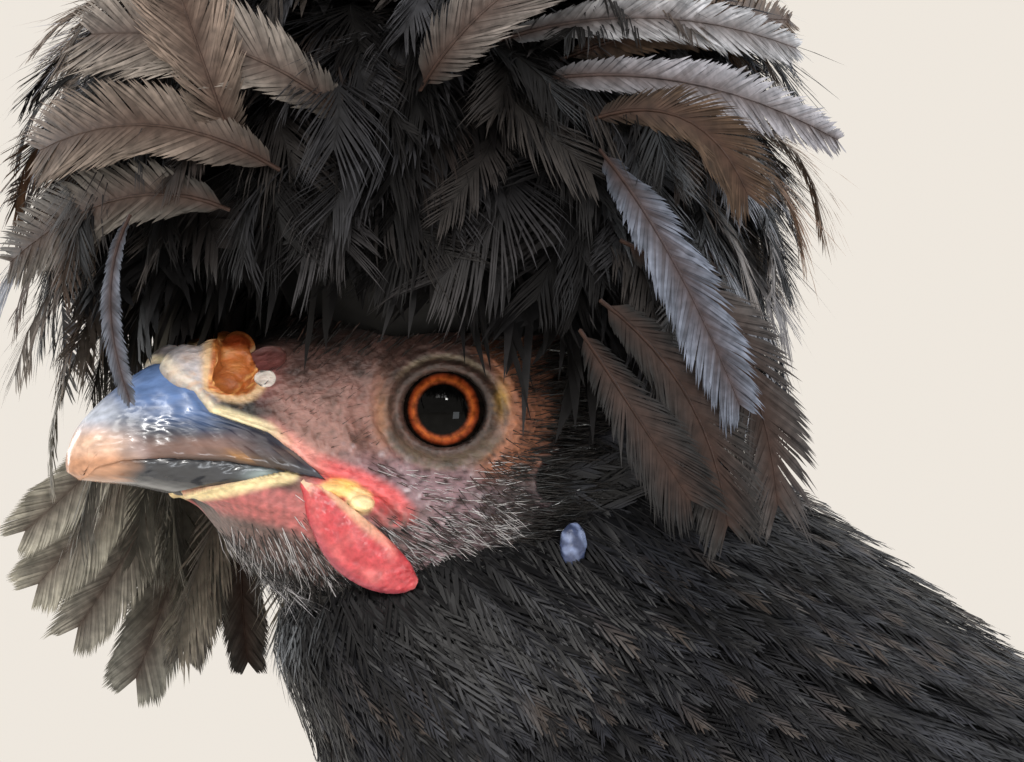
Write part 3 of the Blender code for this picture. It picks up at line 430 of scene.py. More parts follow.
# Over the bill sit the two arched nostrils, each a cup with a flap in it, and behind them the nubs of
# the comb.
for middle, radii in (((2.4, -24.6, 3.6), (3.0, 3.6, 3.4)), ((3.4, -21.4, 3.9), (3.5, 4.2, 3.6)),
                      ((1.7, -22.6, 7.0), (1.7, 2.0, 2.6)), ((2.6, -19.4, 6.2), (2.2, 1.9, 2.2)),
                      ((6.2, -17.6, 3.3), (1.1, 1.1, 1.1)), ((4.8, -17.0, 5.6), (2.0, 2.2, 1.8)),
                      ((2.0, -24.2, 8.2), (1.2, 1.3, 2.3))):
    skin_at = swell(skin_at, np.array(middle), np.array(radii))
skin_at = hollow(skin_at, np.array([6.5, -20.9, 3.7]), np.array([2.9, 2.7, 2.2]), [-1.0, 0.15, -0.1])
skin_at = swell(skin_at, np.array([4.6, -21.3, 2.9]), np.array([1.5, 1.9, 1.5]))
skin_at = swell(skin_at, np.array([4.4, -20.5, 5.2]), np.array([0.8, 1.7, 0.9]))
near_nostril = np.exp(-(np.linalg.norm((start - [4.5, -22, 4.5]) / [5, 5.5, 4.5], axis=-1)) ** 4)
knots = 0.16 * ripple(start, 1.5, 11) + 0.10 * ripple(start, 0.7, 12)
skin_at = skin_at + skin_out * (knots * near_nostril)[..., None]

# The mouth's corner: a groove between two soft lips, a knob where they meet, and folds down the cheek.
GAPE = np.array([[-16.5, -6.3], [-12.5, -7.0], [-9.0, -8.4], [-6.3, -9.9], [-4.6, -11.6]])
gape_far, gape_share = line_distance(start, GAPE)
behind_horn = ramp(-0.2, 0.6, past_edge)
skin_at = skin_at + skin_out * ((0.45 * np.exp(-((gape_far - 0.95) / 0.55) ** 2)
                                 - 0.9 * np.exp(-((gape_far / 0.3) ** 2))) * behind_horn)[..., None]
skin_at = swell(skin_at, np.array([10.4, -8.3, -10.0]), np.array([1.3, 1.5, 0.95]))
skin_at = swell(skin_at, np.array([9.4, -11.0, -8.4]), np.array([1.0, 1.7, 0.6]))
CHIN_STRIP = np.array([[-26.0, -9.0], [-20.5, -9.3], [-14.5, -11.0], [-9.5, -13.5]])
lower_far = line_distance(start, CHIN_STRIP)[0]
skin_at = skin_at + skin_out * (0.5 * np.exp(-(lower_far / 1.0) ** 2) * (start[..., 0] > 2))[..., None]

# The ear is a small cup behind the cheek, and fine folds run over the face, back and down from the bill.
ear_far = np.linalg.norm((start - [13.9, 12.5, -7.5])[..., 1:], axis=-1)
on_side = start[..., 0] > 6
skin_at = skin_at + skin_out * ((0.9 * np.exp(-((ear_far - 2.7) / 0.7) ** 2)
                                 - 1.6 * np.exp(-((ear_far / 1.5) ** 2))) * on_side)[..., None]
cheek = ramp(-13, -8, y) * ramp(15, 8, y) * ramp(-1, -5, z) * ramp(-23, -19, z)
lore = ramp(-21, -16, y) * ramp(-2, -5, y) * ramp(-9, -6, z) * ramp(9, 6, z)
tilted = start @ np.array([[1, 0, 0], [0, 0.88, 0.47], [0, -0.47, 0.88]]).T
folds = ripple(tilted * [1.0, 0.34, 1.0], 1.05, 21) + 0.6 * ripple(tilted * [1.0, 0.3, 1.0], 0.6, 22)
bumps = np.abs(ripple(start, 1.3, 23)) + 0.5 * ripple(start, 0.8, 24)
away = ramp(6.5, 8.5, round_eye)
detail = (0.15 * folds * cheek + 0.13 * bumps * lore) * away
skin_at = skin_at + skin_out * (detail * (1 - near_nostril))[..., None]

# The skin's colours, each laid over the last where it belongs.
smooth_noise, fine_noise = ripple(start, 3.2, 31), ripple(start, 0.9, 32)
tint = np.broadcast_to(BLACK_SKIN, start.shape).copy()
face = ramp(-19, -15, y + 0.25 * z) * ramp(13.5, 9.0, y - 0.25 * z + 1.0 * smooth_noise)
face = face * ramp(10, 6.4, z - 0.15 * y + 0.6 * smooth_noise) * ramp(-21.5, -16.5, z + 0.8 * fine_noise)
tint = mix(tint, lighter(146, 108, 100), face)
tint = mix(tint, lighter(92, 66, 56), face * ramp(0.2, 1.0, smooth_noise + 0.6 * fine_noise) * 0.6)
# Darker towards the crown: partly dark hair, partly painted shade under the overhanging crest.
brow_hair_and_shade = ramp(0.5, 6.5, z - 0.06 * y + 1.2 * smooth_noise + 0.8 * fine_noise)
tint = mix(tint, lighter(46, 34, 31), face * brow_hair_and_shade * 0.85)
tint = mix(tint, lighter(132, 106, 114), cheek * ramp(-3, -7, z) * 0.95)
# Pale on the ridges of the cheek's folds and dark in their troughs: partly its own streaks, partly painted
# highlight and painted shade.
tint = mix(tint, lighter(190, 178, 184), cheek * ramp(0.4, 1.2, folds) * 0.7)
tint = mix(tint, lighter(62, 45, 49), cheek * ramp(-0.1, -0.9, folds) * 0.9)
tint = mix(tint, BLACK_SKIN, cheek * ramp(0.0, 9.5, y - 0.25 * (z + 8) + 1.5 * fine_noise) * 0.88)
tint = mix(tint, lighter(178, 118, 88), ramp(6.2, 7, round_eye) * ramp(12.5, 9, round_eye)
           * ramp(2, 5, rearward)
           * ramp(-9, -5, upward) * (0.75 + 0.35 * fine_noise))
tint = mix(tint, lighter(58, 34, 28), ramp(6.2, 7, round_eye) * ramp(13, 9, round_eye)
           * ramp(2, 5, rearward)
           * ramp(0.15, 0.8, ripple(tilted * [1, 0.3, 1.3], 1.0, 33)) * 0.85)
tint = mix(tint, lighter(205, 160, 70),
           np.exp(-(((rearward - 6.0) / 0.8) ** 2 + ((upward - 0.8) / 1.8) ** 2)))
tint = mix(tint, lighter(150, 104, 66),
           0.7 * np.exp(-(((rearward + 6.6) / 1.0) ** 2 + ((upward + 0.5) / 3) ** 2)))
tint = mix(tint, lighter(60, 46, 39), ramp(6.7, 5.3, round_eye) * (0.85 + 0.2 * fine_noise))
tint = mix(tint, lighter(92, 80, 66), ramp(5.0, 5.5, round_eye) * ramp(7.4, 6.4, round_eye)
           * ramp(-1, -4, upward)
           * (0.8 + 0.3 * fine_noise))
tint = mix(tint, lighter(130, 116, 98), ramp(5.5, 5.75, round_eye) * ramp(6.3, 6.0, round_eye)
           * ramp(2.5, 5, upward))
# Painted shade: darker in the troughs of the wrinkles round the lids.
tint = mix(tint, lighter(38, 28, 24), ramp(0.1, -0.8, wrinkles) * ramp(7.6, 6.4, round_eye) * 0.6)
dark_edge = 4.02 + 0.45 * ramp(0, 3, rearward)
tint = mix(tint, lighter(16, 11, 9), ramp(0.25, 0.0, round_eye - dark_edge) * (stand > 0))
upper_far, upper_share = line_distance(start, UPPER_EDGE[:4])
strip = ramp(2.3, 0.9, upper_far) * behind_horn * above
tint = mix(tint, lighter(222, 150, 140), strip * ramp(0.45, 0.2, upper_share))
tint = mix(tint, lighter(238, 222, 180), ramp(1.5, 0.6, upper_far) * behind_horn * above
           * ramp(0.15, 0.42, upper_share))
tint = mix(tint, lighter(214, 98, 100), ramp(2.6, 1.4, gape_far) * ramp(0.1, 0.35, gape_share)
           * (z > -12.5))
chin = ramp(2.6, 1.2, lower_far) * (start[..., 0] > 2)
throat = ramp(-26.5, -23, y) * ramp(2, -5, y) * ramp(-9.5, -11.5, z) * (1 - ramp(-17, -21, z) * 0.5)
tint = mix(tint, lighter(112, 90, 86), throat * (0.7 + 0.3 * fine_noise))
tint = mix(tint, lighter(180, 100, 98), chin * (0.8 + 0.25 * fine_noise))
below = behind_horn * ~above
lower_edge_far = line_distance(start, LOWER_EDGE)[0]
tint = mix(tint, lighter(228, 208, 160), ramp(1.7, 0.8, lower_edge_far) * below * (start[..., 0] > 1.5))
tint = mix(tint, lighter(240, 204, 132), ramp(1.25, 0.75,
                                              np.linalg.norm((start - [9.4, -10.6, -8.4])[..., 1:]
           @ np.array([[0.42, -0.25], [0.5, 0.9]]), axis=-1)))
tint = mix(tint, lighter(246, 222, 170), ramp(1.7, 1.1,
                                              np.linalg.norm((start - [10.4, -8.5, -9.9])[..., 1:],
                                                             axis=-1)))
tint = mix(tint, lighter(182, 176, 180), near_nostril * ramp(-22.2, -23.6, y) * (z > 0))
tint = mix(tint, lighter(120, 96, 84), near_nostril * ramp(0.1, 0.8, fine_noise + 0.4) * ramp(5.5, 7.5, z)
           * 0.8)
tint = mix(tint, lighter(206, 170, 140), near_nostril * ramp(0.1, 0.9, -fine_noise) * ramp(-18.0, -22.0, y)
           * 0.7)
tint = mix(tint, lighter(178, 98, 96), near_nostril * ramp(-19.6, -18.2, y) * ramp(7, 5, z))
cup = np.linalg.norm((start - [6.5, -20.9, 3.7])[..., 1:] / [2.9, 2.5], axis=-1)
tint = mix(tint, lighter(204, 170, 130), ramp(1.35, 1.05, cup) * (start[..., 0] > 2) * (z > -1))
tint = mix(tint, lighter(168, 94, 42), ramp(1.02, 0.8, cup) * (start[..., 0] > 2))
# Paler amber in patches inside the nostril: partly its own folds, partly painted highlight.
tint = mix(tint, lighter(214, 158, 92), ramp(1.0, 0.8, cup) * (start[..., 0] > 2)
           * ramp(0.1, 0.9, fine_noise + 0.1))
tint = mix(tint, lighter(120, 44, 8), ramp(0.6, 0.3, np.hypot((y + 20.9) / 1.6, (z - 4.9) / 0.6))
           * (start[..., 0] > 2))
tint = mix(tint, lighter(206, 196, 188), ramp(1.0, 0.6,
                                              np.linalg.norm((start - [6.6, -17.5, 3.4])[..., 1:],
                                                             axis=-1)))
head_part = tube(skin_at * mirror + EYE_MID)
head_tint = np.concatenate([tint.reshape(-1, 3), [BLACK_SKIN, BLACK_SKIN]])

# Head, neck, body and thighs become one closed skin by a union, so that no seam runs between them.


def node(tree, kind, inputs=None, **settings):
    """A shader node's outputs, with its inputs wired from sockets or set to values."""
    made = tree.nodes.new(kind)
    for name, value in settings.items():
        setattr(made, name, value)
    for name, value in (inputs or {}).items():
        if isinstance(value, bpy.types.NodeSocket):
            tree.links.new(value, made.inputs[name])
        else:
            made.inputs[name].default_value = value
    return made.outputs


def grain_and_shade_group():
    """Two sizes of noise as one height, with painted shade that darkens the hollows and painted light on the
    rises: for skin, horn and scales.
    """
    group = bpy.data.node_groups.new("grain_and_shade", "ShaderNodeTree")
    for name, kind in (("Vector", "NodeSocketVector"), ("Fine", "NodeSocketFloat"),
                       ("Colour", "NodeSocketColor")):
        group.interface.new_socket(name, in_out="INPUT", socket_type=kind)
    for name, kind in (("Height", "NodeSocketFloat"), ("Colour", "NodeSocketColor")):
        group.interface.new_socket(name, in_out="OUTPUT", socket_type=kind)
    given = node(group, "NodeGroupInput")
    result = group.nodes.new("NodeGroupOutput")
    fine = node(group, "ShaderNodeTexNoise", {"Vector": given["Vector"], "Scale": given["Fine"],
                                              "Detail": 4.0})
    cells = node(group, "ShaderNodeTexVoronoi", {"Vector": given["Vector"], "Scale": given["Fine"]})
    both = node(group, "ShaderNodeMath", {0: fine["Fac"], 1: cells["Distance"]}, operation="MULTIPLY_ADD")
    both[0].node.inputs[2].default_value = 0.0
    high = node(group, "ShaderNodeMath", {0: both[0], 1: fine["Fac"]}, operation="ADD")
    shade = node(group, "ShaderNodeMapRange", {"Value": fine["Fac"], 1: 0.3, 2: 0.7, 3: 0.72, 4: 1.22})
    colour = node(group, "ShaderNodeVectorMath", {0: given["Colour"], "Scale": shade[0]}, operation="SCALE")
    group.links.new(high[0], result.inputs["Height"])
    group.links.new(colour[0], result.inputs["Colour"])
    return group


GRAIN_AND_SHADE = grain_and_shade_group()


def grained_and_shaded(name, fine, roughness, bump, stretch=(1, 1, 1), turn=(0, 0, 0)):
    """A material of the piece's own point colours with grain and painted shade over them, laid along a
    direction.
    """
    made, tree, shader = new_material(name, roughness)
    place = node(tree, "ShaderNodeTexCoord")
    laid = node(tree, "ShaderNodeMapping", {"Vector": place["Object"], "Scale": stretch, "Rotation": turn})
    own = node(tree, "ShaderNodeAttribute", attribute_name="tint")["Color"]
    grain_and_shade = tree.nodes.new("ShaderNodeGroup")
    grain_and_shade.node_tree = GRAIN_AND_SHADE
    tree.links.new(laid[0], grain_and_shade.inputs["Vector"])
    tree.links.new(own, grain_and_shade.inputs["Colour"])
    grain_and_shade.inputs["Fine"].default_value = fine
    lift = node(tree, "ShaderNodeBump", {"Height": grain_and_shade.outputs["Height"], "Distance": bump * MM,
                                         "Strength": 1.0})
    tree.links.new(grain_and_shade.outputs["Colour"], shader.inputs["Base Color"])
    tree.links.new(lift[0], shader.inputs["Normal"])
    return made, shader


skin_finish, skin_shader = grained_and_shaded("bare_skin", 1500, 0.5, 0.16, (1, 0.55, 1), (0.5, 0, 0))
skin_shader.inputs["Subsurface Weight"].default_value = 0.12
skin_shader.inputs["Subsurface Radius"].default_value = (0.0012, 0.0005, 0.0003)
skin_shader.inputs["Subsurface Scale"].default_value = 1.0


skin_parts = (("head", head_part), ("body", body_part), ("thigh1", thigh_parts[0]),
              ("thigh-1", thigh_parts[1]))
shells = [piece(f"shell_{sheet}", *part[:2], skin_finish, on_sheet(sheet, part[2]),
                head_tint if sheet == "head" else np.broadcast_to(BLACK_SKIN, part[0].shape), rides=False)
          for sheet, part in skin_parts]
whole_skin = shells[0]
for shell in shells[1:]:
    union = whole_skin.modifiers.new("union", "BOOLEAN")
    union.operation, union.solver, union.object = "UNION", "MANIFOLD", shell
bpy.context.view_layer.update()
skin_mesh = bpy.data.meshes.new_from_object(whole_skin.evaluated_get(bpy.context.evaluated_depsgraph_get()))
for shell in shells:
    bpy.data.objects.remove(shell)
own_tint = skin_mesh.attributes["tint"].data
values = np.empty(len(own_tint) * 4, np.float32)
own_tint.foreach_get("color", values)
values = values.reshape(-1, 4)
values[(values[:, :3] > 0.98).all(axis=1) | (values[:, :3] < 1e-4).all(axis=1), :3] = BLACK_SKIN
own_tint.foreach_set("color", values.ravel())
skin_mesh.name = "skin"
skin = bpy.data.objects.new("skin", skin_mesh)
bpy.context.scene.collection.objects.link(skin)
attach(skin, "root")
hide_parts("head", "neck", "torso", "thigh_left", "thigh_right")

# The eyes: opaque balls with a wet front. A flat map centred on the look gives the pupil and the iris,
# which is bright orange between a dark rim and the black pupil.
eye_finish, eye_tree, eye_shader = new_material("wet_eye", 0.12)
disc = node(eye_tree, "ShaderNodeUVMap", uv_map="disc")[0]
from_mid = node(eye_tree, "ShaderNodeVectorMath", {0: disc, 1: (0.5, 0.5, 0)}, operation="SUBTRACT")[0]
far = node(eye_tree, "ShaderNodeVectorMath", {0: from_mid}, operation="LENGTH")["Value"]
way = node(eye_tree, "ShaderNodeVectorMath", {0: from_mid}, operation="NORMALIZE")[0]
spokes = node(eye_tree, "ShaderNodeTexNoise", {"Vector": way, "Scale": 9.0, "Detail": 5.0,
                                               "Roughness": 0.7})["Fac"]
patchy = node(eye_tree, "ShaderNodeTexNoise", {"Vector": disc, "Scale": 16.0, "Detail": 3.0})["Fac"]
waver = node(eye_tree, "ShaderNodeMath", {0: spokes, 1: 0.016, 2: far}, operation="MULTIPLY_ADD")[0]
ring = node(eye_tree, "ShaderNodeMapRange", {"Value": waver, 1: 0.008, 2: 0.326, 3: 0.0, 4: 1.0})[0]
bands = eye_tree.nodes.new("ShaderNodeValToRGB")
for place, colour in ((0.0, (0.002, 0.002, 0.002)), (0.640, (0.002, 0.002, 0.002)),
                      (0.672, (0.05, 0.012, 0.004)),
                      (0.715, (0.22, 0.048, 0.018)), (0.78, (0.42, 0.100, 0.022)),
                      (0.86, (0.25, 0.044, 0.012)),
                      (0.92, (0.10, 0.018, 0.006)), (0.955, (0.006, 0.004, 0.003))):
    stop = bands.color_ramp.elements.new(place)
    stop.color = (*colour, 1)
bands.color_ramp.elements.remove(bands.color_ramp.elements[-1])
eye_tree.links.new(ring, bands.inputs["Fac"])
darker = node(eye_tree, "ShaderNodeMapRange", {"Value": patchy, 1: 0.35, 2: 0.65, 3: 0.42, 4: 1.12})[0]
iris = node(eye_tree, "ShaderNodeVectorMath", {0: bands.outputs["Color"], "Scale": darker},
            operation="SCALE")[0]
eye_tree.links.new(iris, eye_shader.inputs["Base Color"])
eye_shader.inputs["Coat Weight"].default_value = 1.0
eye_shader.inputs["Coat Roughness"].default_value = 0.02
eye_shader.inputs["Coat IOR"].default_value = 1.17
eye_shader.inputs["Specular IOR Level"].default_value = 0.0
for side, word in ((1, "left"), (-1, "right")):
    lat, turn = np.meshgrid(np.linspace(0.03, 2.9, 60), np.arange(80) * 2 * np.pi / 80, indexing="ij")
    around = np.cos(turn)[..., None] * REARWARD + np.sin(turn)[..., None] * [0, 0, 1]
    bulge = EYE_R - 0.10 + 0.10 * ramp(0.75, 0.2, lat)
    ball = EYE_CENTRE + bulge[..., None] * (np.cos(lat)[..., None] * LOOK + np.sin(lat)[..., None] * around)
    eye_points, eye_faces, eye_share = tube(ball * [side, 1, 1] + EYE_MID)
    eye = piece(f"eyeball_{word}", eye_points, eye_faces, eye_finish, on_sheet("small", eye_share))
    flat = (eye_points - EYE_MID) * [side, 1, 1] - EYE_CENTRE
    flat = np.stack([flat @ REARWARD, flat[:, 2]], axis=-1) / (2 * EYE_R) + 0.5
    eye.data.uv_layers.new(name="disc").data.foreach_set("uv", flat[eye_faces].astype(np.float32).ravel())
    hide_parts(f"eye_{word}")

# The bill: two sheaths of horn over bone, grown from the skin at their back edge. The upper one is slate
# blue with a pale worn tip and a brown cutting edge that laps over the lower one. A paler blue along its
# ridge and a blue-white over the top of its tip are painted highlight.


def with_ends(shade):
    """The colours of a tube's points, and of the two points that close its ends."""
    return np.concatenate([shade.reshape(-1, 3), shade[0, :1], shade[-1, :1]])


def horn(upper, steps=90, sides=64):
    """A sheath of horn on the head's own sections: it runs from the mouth's line over the ridge, or under the
    chin, and closes across the palate. Each lengthwise line ends where it meets the edge of the skin."""
    def mouth_turn(at_y):
        """The angle at which the section at y meets the line of the mouth."""
        turns = np.linspace(0, np.pi, 400)
        rows = np.interp(at_y, HEAD[:, 0], np.arange(len(HEAD)))
        heights = head_point(rows[..., None] + 0 * turns, turns + 0 * rows[..., None])[..., 2]
        line = np.interp(at_y, MOUTH[::-1, 0], MOUTH[::-1, 1])
        return turns[np.argmin(np.abs(heights - line[..., None]), axis=-1)]

    table_y = np.linspace(-37.69, -12, 200)
    table_turn = mouth_turn(table_y)
    share = np.linspace(-1, 1, sides)
    low_y, high_y = np.full(sides, -37.0), np.full(sides, -12.0)
    edge = UPPER_EDGE if upper else LOWER_EDGE[::-1]
    for _ in range(24):
        middle = (low_y + high_y) / 2
        meet = np.interp(middle, table_y, table_turn)
        turn = share * meet if upper else np.pi + share * (np.pi - meet)
        high = head_point(np.interp(middle, HEAD[:, 0], np.arange(len(HEAD))), turn)[..., 2]
        ahead = middle < np.interp(high, edge[:, 1], edge[:, 0])
        low_y, high_y = np.where(ahead, middle, low_y), np.where(ahead, high_y, middle)
    along = np.linspace(0.0, 1.0, steps)[:, None] ** 0.8
    at_y = -37.6 + (low_y - -37.6 + (0.5 if upper else 0.4)) * along
    meet = np.interp(at_y, table_y, table_turn)
    turn = share * meet if upper else np.pi + share * (np.pi - meet)
    near_edge = np.abs(share)
    grow = 0.30 * ramp(0.995, 0.9, along) + (0.12 if upper else -0.25) * ramp(0.8, 1.0, near_edge)
    grow = grow * ramp(0, 0.10, along)
    outer = head_point(np.interp(at_y, HEAD[:, 0], np.arange(len(HEAD))), turn, grow)
    outer[..., 2] = outer[..., 2] + (-0.35 if upper else -0.25) * ramp(0.93, 1.0, near_edge) * ramp(0, 0.1,
                                                                                                    along)
    palate = np.linspace(1, -1, 16)[1:-1]
    right, left = outer[:, -1:], outer[:, :1]
    inner = right * (1 + palate[:, None]) / 2 + left * (1 - palate[:, None]) / 2
    inner[..., 2] = inner[..., 2] + (0.9 if upper else -0.9) * (1 - palate**2) * ramp(0, 0.3, along)
    return np.concatenate([outer, inner], axis=1), along, near_edge


horn_finish, horn_shader = grained_and_shaded("bill_horn", 420, 0.27, 0.035, (3.0, 0.35, 3.0), (-0.12, 0, 0))
horn_shader.inputs["Coat Weight"].default_value = 0.35
horn_shader.inputs["Coat Roughness"].default_value = 0.12
for upper, name in ((True, "bill_upper"), (False, "bill_lower")):
    rings, along, near_edge = horn(upper)
    points = rings.copy()
    py, pz = points[..., 1], points[..., 2]
    worn = ripple(points * [1, 0.25, 1], 2.6, 41) * 0.5 + ripple(points * [1, 0.2, 1], 0.9, 42) * 0.25
    flakes = 0.05 * ripple(points * [1, 0.4, 1], 0.7, 43) + 0.05 * np.sin(py * 2.4 + 1.2 * worn)
    points[..., 0] += np.sign(points[..., 0]) * flakes * ramp(0.2, 1.2, np.abs(points[..., 0]))
    shade = np.broadcast_to(lighter(48, 52, 64), points.shape).copy()
    if upper:
        # Painted highlight: a paler blue over the top of the ridge.
        shade = mix(shade, lighter(104, 132, 182), ramp(-3.0, 1.4, pz + 0.12 * (py + 28))
                    * ramp(-19, -25, py) * 0.9)
        shade = mix(shade, lighter(128, 96, 84), ramp(-2.2, -4.0, pz + 0.7 * worn) * ramp(-16, -24, py)
                    * 0.8)
        # Painted highlight: blue-white over the tip; the peach below it is the worn horn.
        shade = mix(shade, lighter(186, 194, 210), ramp(-30.0, -36.0, py + 1.6 * worn))
        shade = mix(shade, lighter(208, 172, 150), ramp(-30.5, -35.0, py + worn)
                    * ramp(-0.8, -3.2, pz + 0.4 * worn))
        shade = mix(shade, lighter(182, 134, 104), ramp(-30, -34, py) * ramp(-4.2, -5.6, pz + 0.3 * worn))
        shade = mix(shade, lighter(52, 38, 30), ramp(-4.5, -5.0, pz) * ramp(-31, -26, py)
                    * ramp(-13.5, -17, py) * 0.9)
        shade = mix(shade, lighter(184, 128, 62), np.exp(-(((pz + 4.9 - 0.02 * (py + 20)) / 0.22) ** 2))
                    * np.exp(-(((py + 19.5) / 3.0) ** 2)))
        shade = mix(shade, lighter(16, 18, 24), ramp(-24.3, -23.2, py + 0.8 * worn) * ramp(-3.4, -1.4, pz)
                    * 0.5)
    else:
        shade = mix(shade, lighter(44, 46, 50), 0.8 + 0 * pz)
        shade = mix(shade, lighter(150, 168, 172),
                    np.exp(-(np.hypot((py + 18.6) / 1.6, (pz + 7.0) / 0.7) ** 2)) * 0.8)
        shade = mix(shade, lighter(176, 132, 104), ramp(-30.5, -34, py + worn))
    shade = mix(shade, shade * 0.72, ramp(0.1, 0.7, worn) * 0.8)
    sheath = tube(points + EYE_MID)
    made = piece(f"sheath_{name[5:]}", *sheath[:2], horn_finish, on_sheet("small", sheath[2]),
                 with_ends(shade))
    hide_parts(name)

# The wattles: thin soft coral-red flaps that hang from the corners of the mouth and lie along the cheeks.
WATTLE = np.array([
    [-14.4, -7.6, 8.7, 0.5], [-13.2, -9.0, 9.2, 1.5], [-12.0, -11.0, 9.7, 2.5], [-9.6, -14.2, 10.4, 3.5],
    [-6.6, -16.6, 10.9, 3.3], [-4.0, -18.0, 11.2, 2.2], [-2.4, -18.6, 11.3, 0.7],
])
wattle_finish, wattle_shader = grained_and_shaded("wattle_skin", 1300, 0.33, 0.08)
wattle_shader.inputs["Subsurface Weight"].default_value = 0.12
wattle_shader.inputs["Subsurface Radius"].default_value = (0.002, 0.0006, 0.0004)
wattle_shader.inputs["Subsurface Scale"].default_value = 1.0
for side, word in ((1, "left"), (-1, "right")):
    rows = smooth(WATTLE, np.linspace(0, 6, 80))
    line = rows[:, [2, 0, 1]]
    along = unit(np.gradient(line, axis=0))
    across = unit(np.cross(along, [0.93, -0.25, -0.28]))
    out = np.cross(across, along)
    turn = np.arange(56) * 2 * np.pi / 56
    rows[:, 3] *= 0.88
    thick = 1.15 * (0.45 + 0.55 * rows[:, 3] / 3.5)
    flap = (line[:, None] + rows[:, 3][:, None, None] * np.cos(turn)[:, None] * across[:, None]
            + thick[:, None, None] * squared(np.sin(turn), 0.8)[:, None] * out[:, None])
    crease = 0.24 * ripple(flap * [1, 0.6, 0.6], 2.0, 51) + 0.09 * ripple(flap, 0.8, 52)
    flap = flap + out[:, None] * (crease * (np.sin(turn) > 0))[..., None]
    red = np.broadcast_to(lighter(188, 68, 75), flap.shape)
    # Paler streaks over the flap: partly its own mottling, partly painted highlight.
    red = mix(red, lighter(224, 142, 138), ramp(0.0, 1.1, ripple(flap * [1, 0.3, 0.3], 1.6, 53)) * 0.45)
    red = mix(red, lighter(158, 52, 58), ramp(0.1, 1.0, ripple(flap, 0.9, 54)) * 0.6)
    down = np.linspace(0, 1, 80)[:, None]
    red = mix(red, lighter(236, 196, 164), np.maximum(ramp(0.2, 0.0, down) * (np.cos(turn) < 0.3),
                                                     ramp(0.75, 0.4, down)
                                                     * ramp(-0.55, -0.85, np.cos(turn)) * 0.8))
    red = mix(red, lighter(124, 70, 84), ramp(0.5, 0.95, np.cos(turn) + 0.3 * crease)
              * ramp(0.2, 0.5, down) * 0.6)
    body, body_faces, body_share = tube(flap * [side, 1, 1] + EYE_MID)
    made = piece(f"wattle_flap_{word}", body, body_faces, wattle_finish, on_sheet("small", body_share),
                 with_ends(red))
    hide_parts(f"wattle_{word}")

# The ear lobes: small flat bluish-white pads of skin below the ears.
lobe_finish, _ = grained_and_shaded("lobe_skin", 1500, 0.4, 0.1)
for side, word in ((1, "left"), (-1, "right")):
    lat, turn = np.meshgrid(np.linspace(0.05, np.pi - 0.05, 40), np.arange(48) * 2 * np.pi / 48,
                            indexing="ij")
    pad = np.stack([np.sin(lat) * np.cos(turn), np.sin(lat) * np.sin(turn), np.cos(lat)], -1) * [1.1, 1.5,
                                                                                                 2.4]
    pad = pad * (1 + 0.05 * ripple(pad, 1.3, 61))[..., None] + [15.3, 14.2, -14.6]
    pale = mix(np.broadcast_to(lighter(58, 68, 98), pad.shape), lighter(122, 136, 172),
               ramp(-0.2, 0.9, ripple(pad, 1.8, 62)))
    body, body_faces, body_share = tube(pad * [side, 1, 1] + EYE_MID)
    made = piece(f"ear_lobe_{word}", body, body_faces, lobe_finish, on_sheet("small", body_share),
                 with_ends(pale))
    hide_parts(f"lobe_{word}")
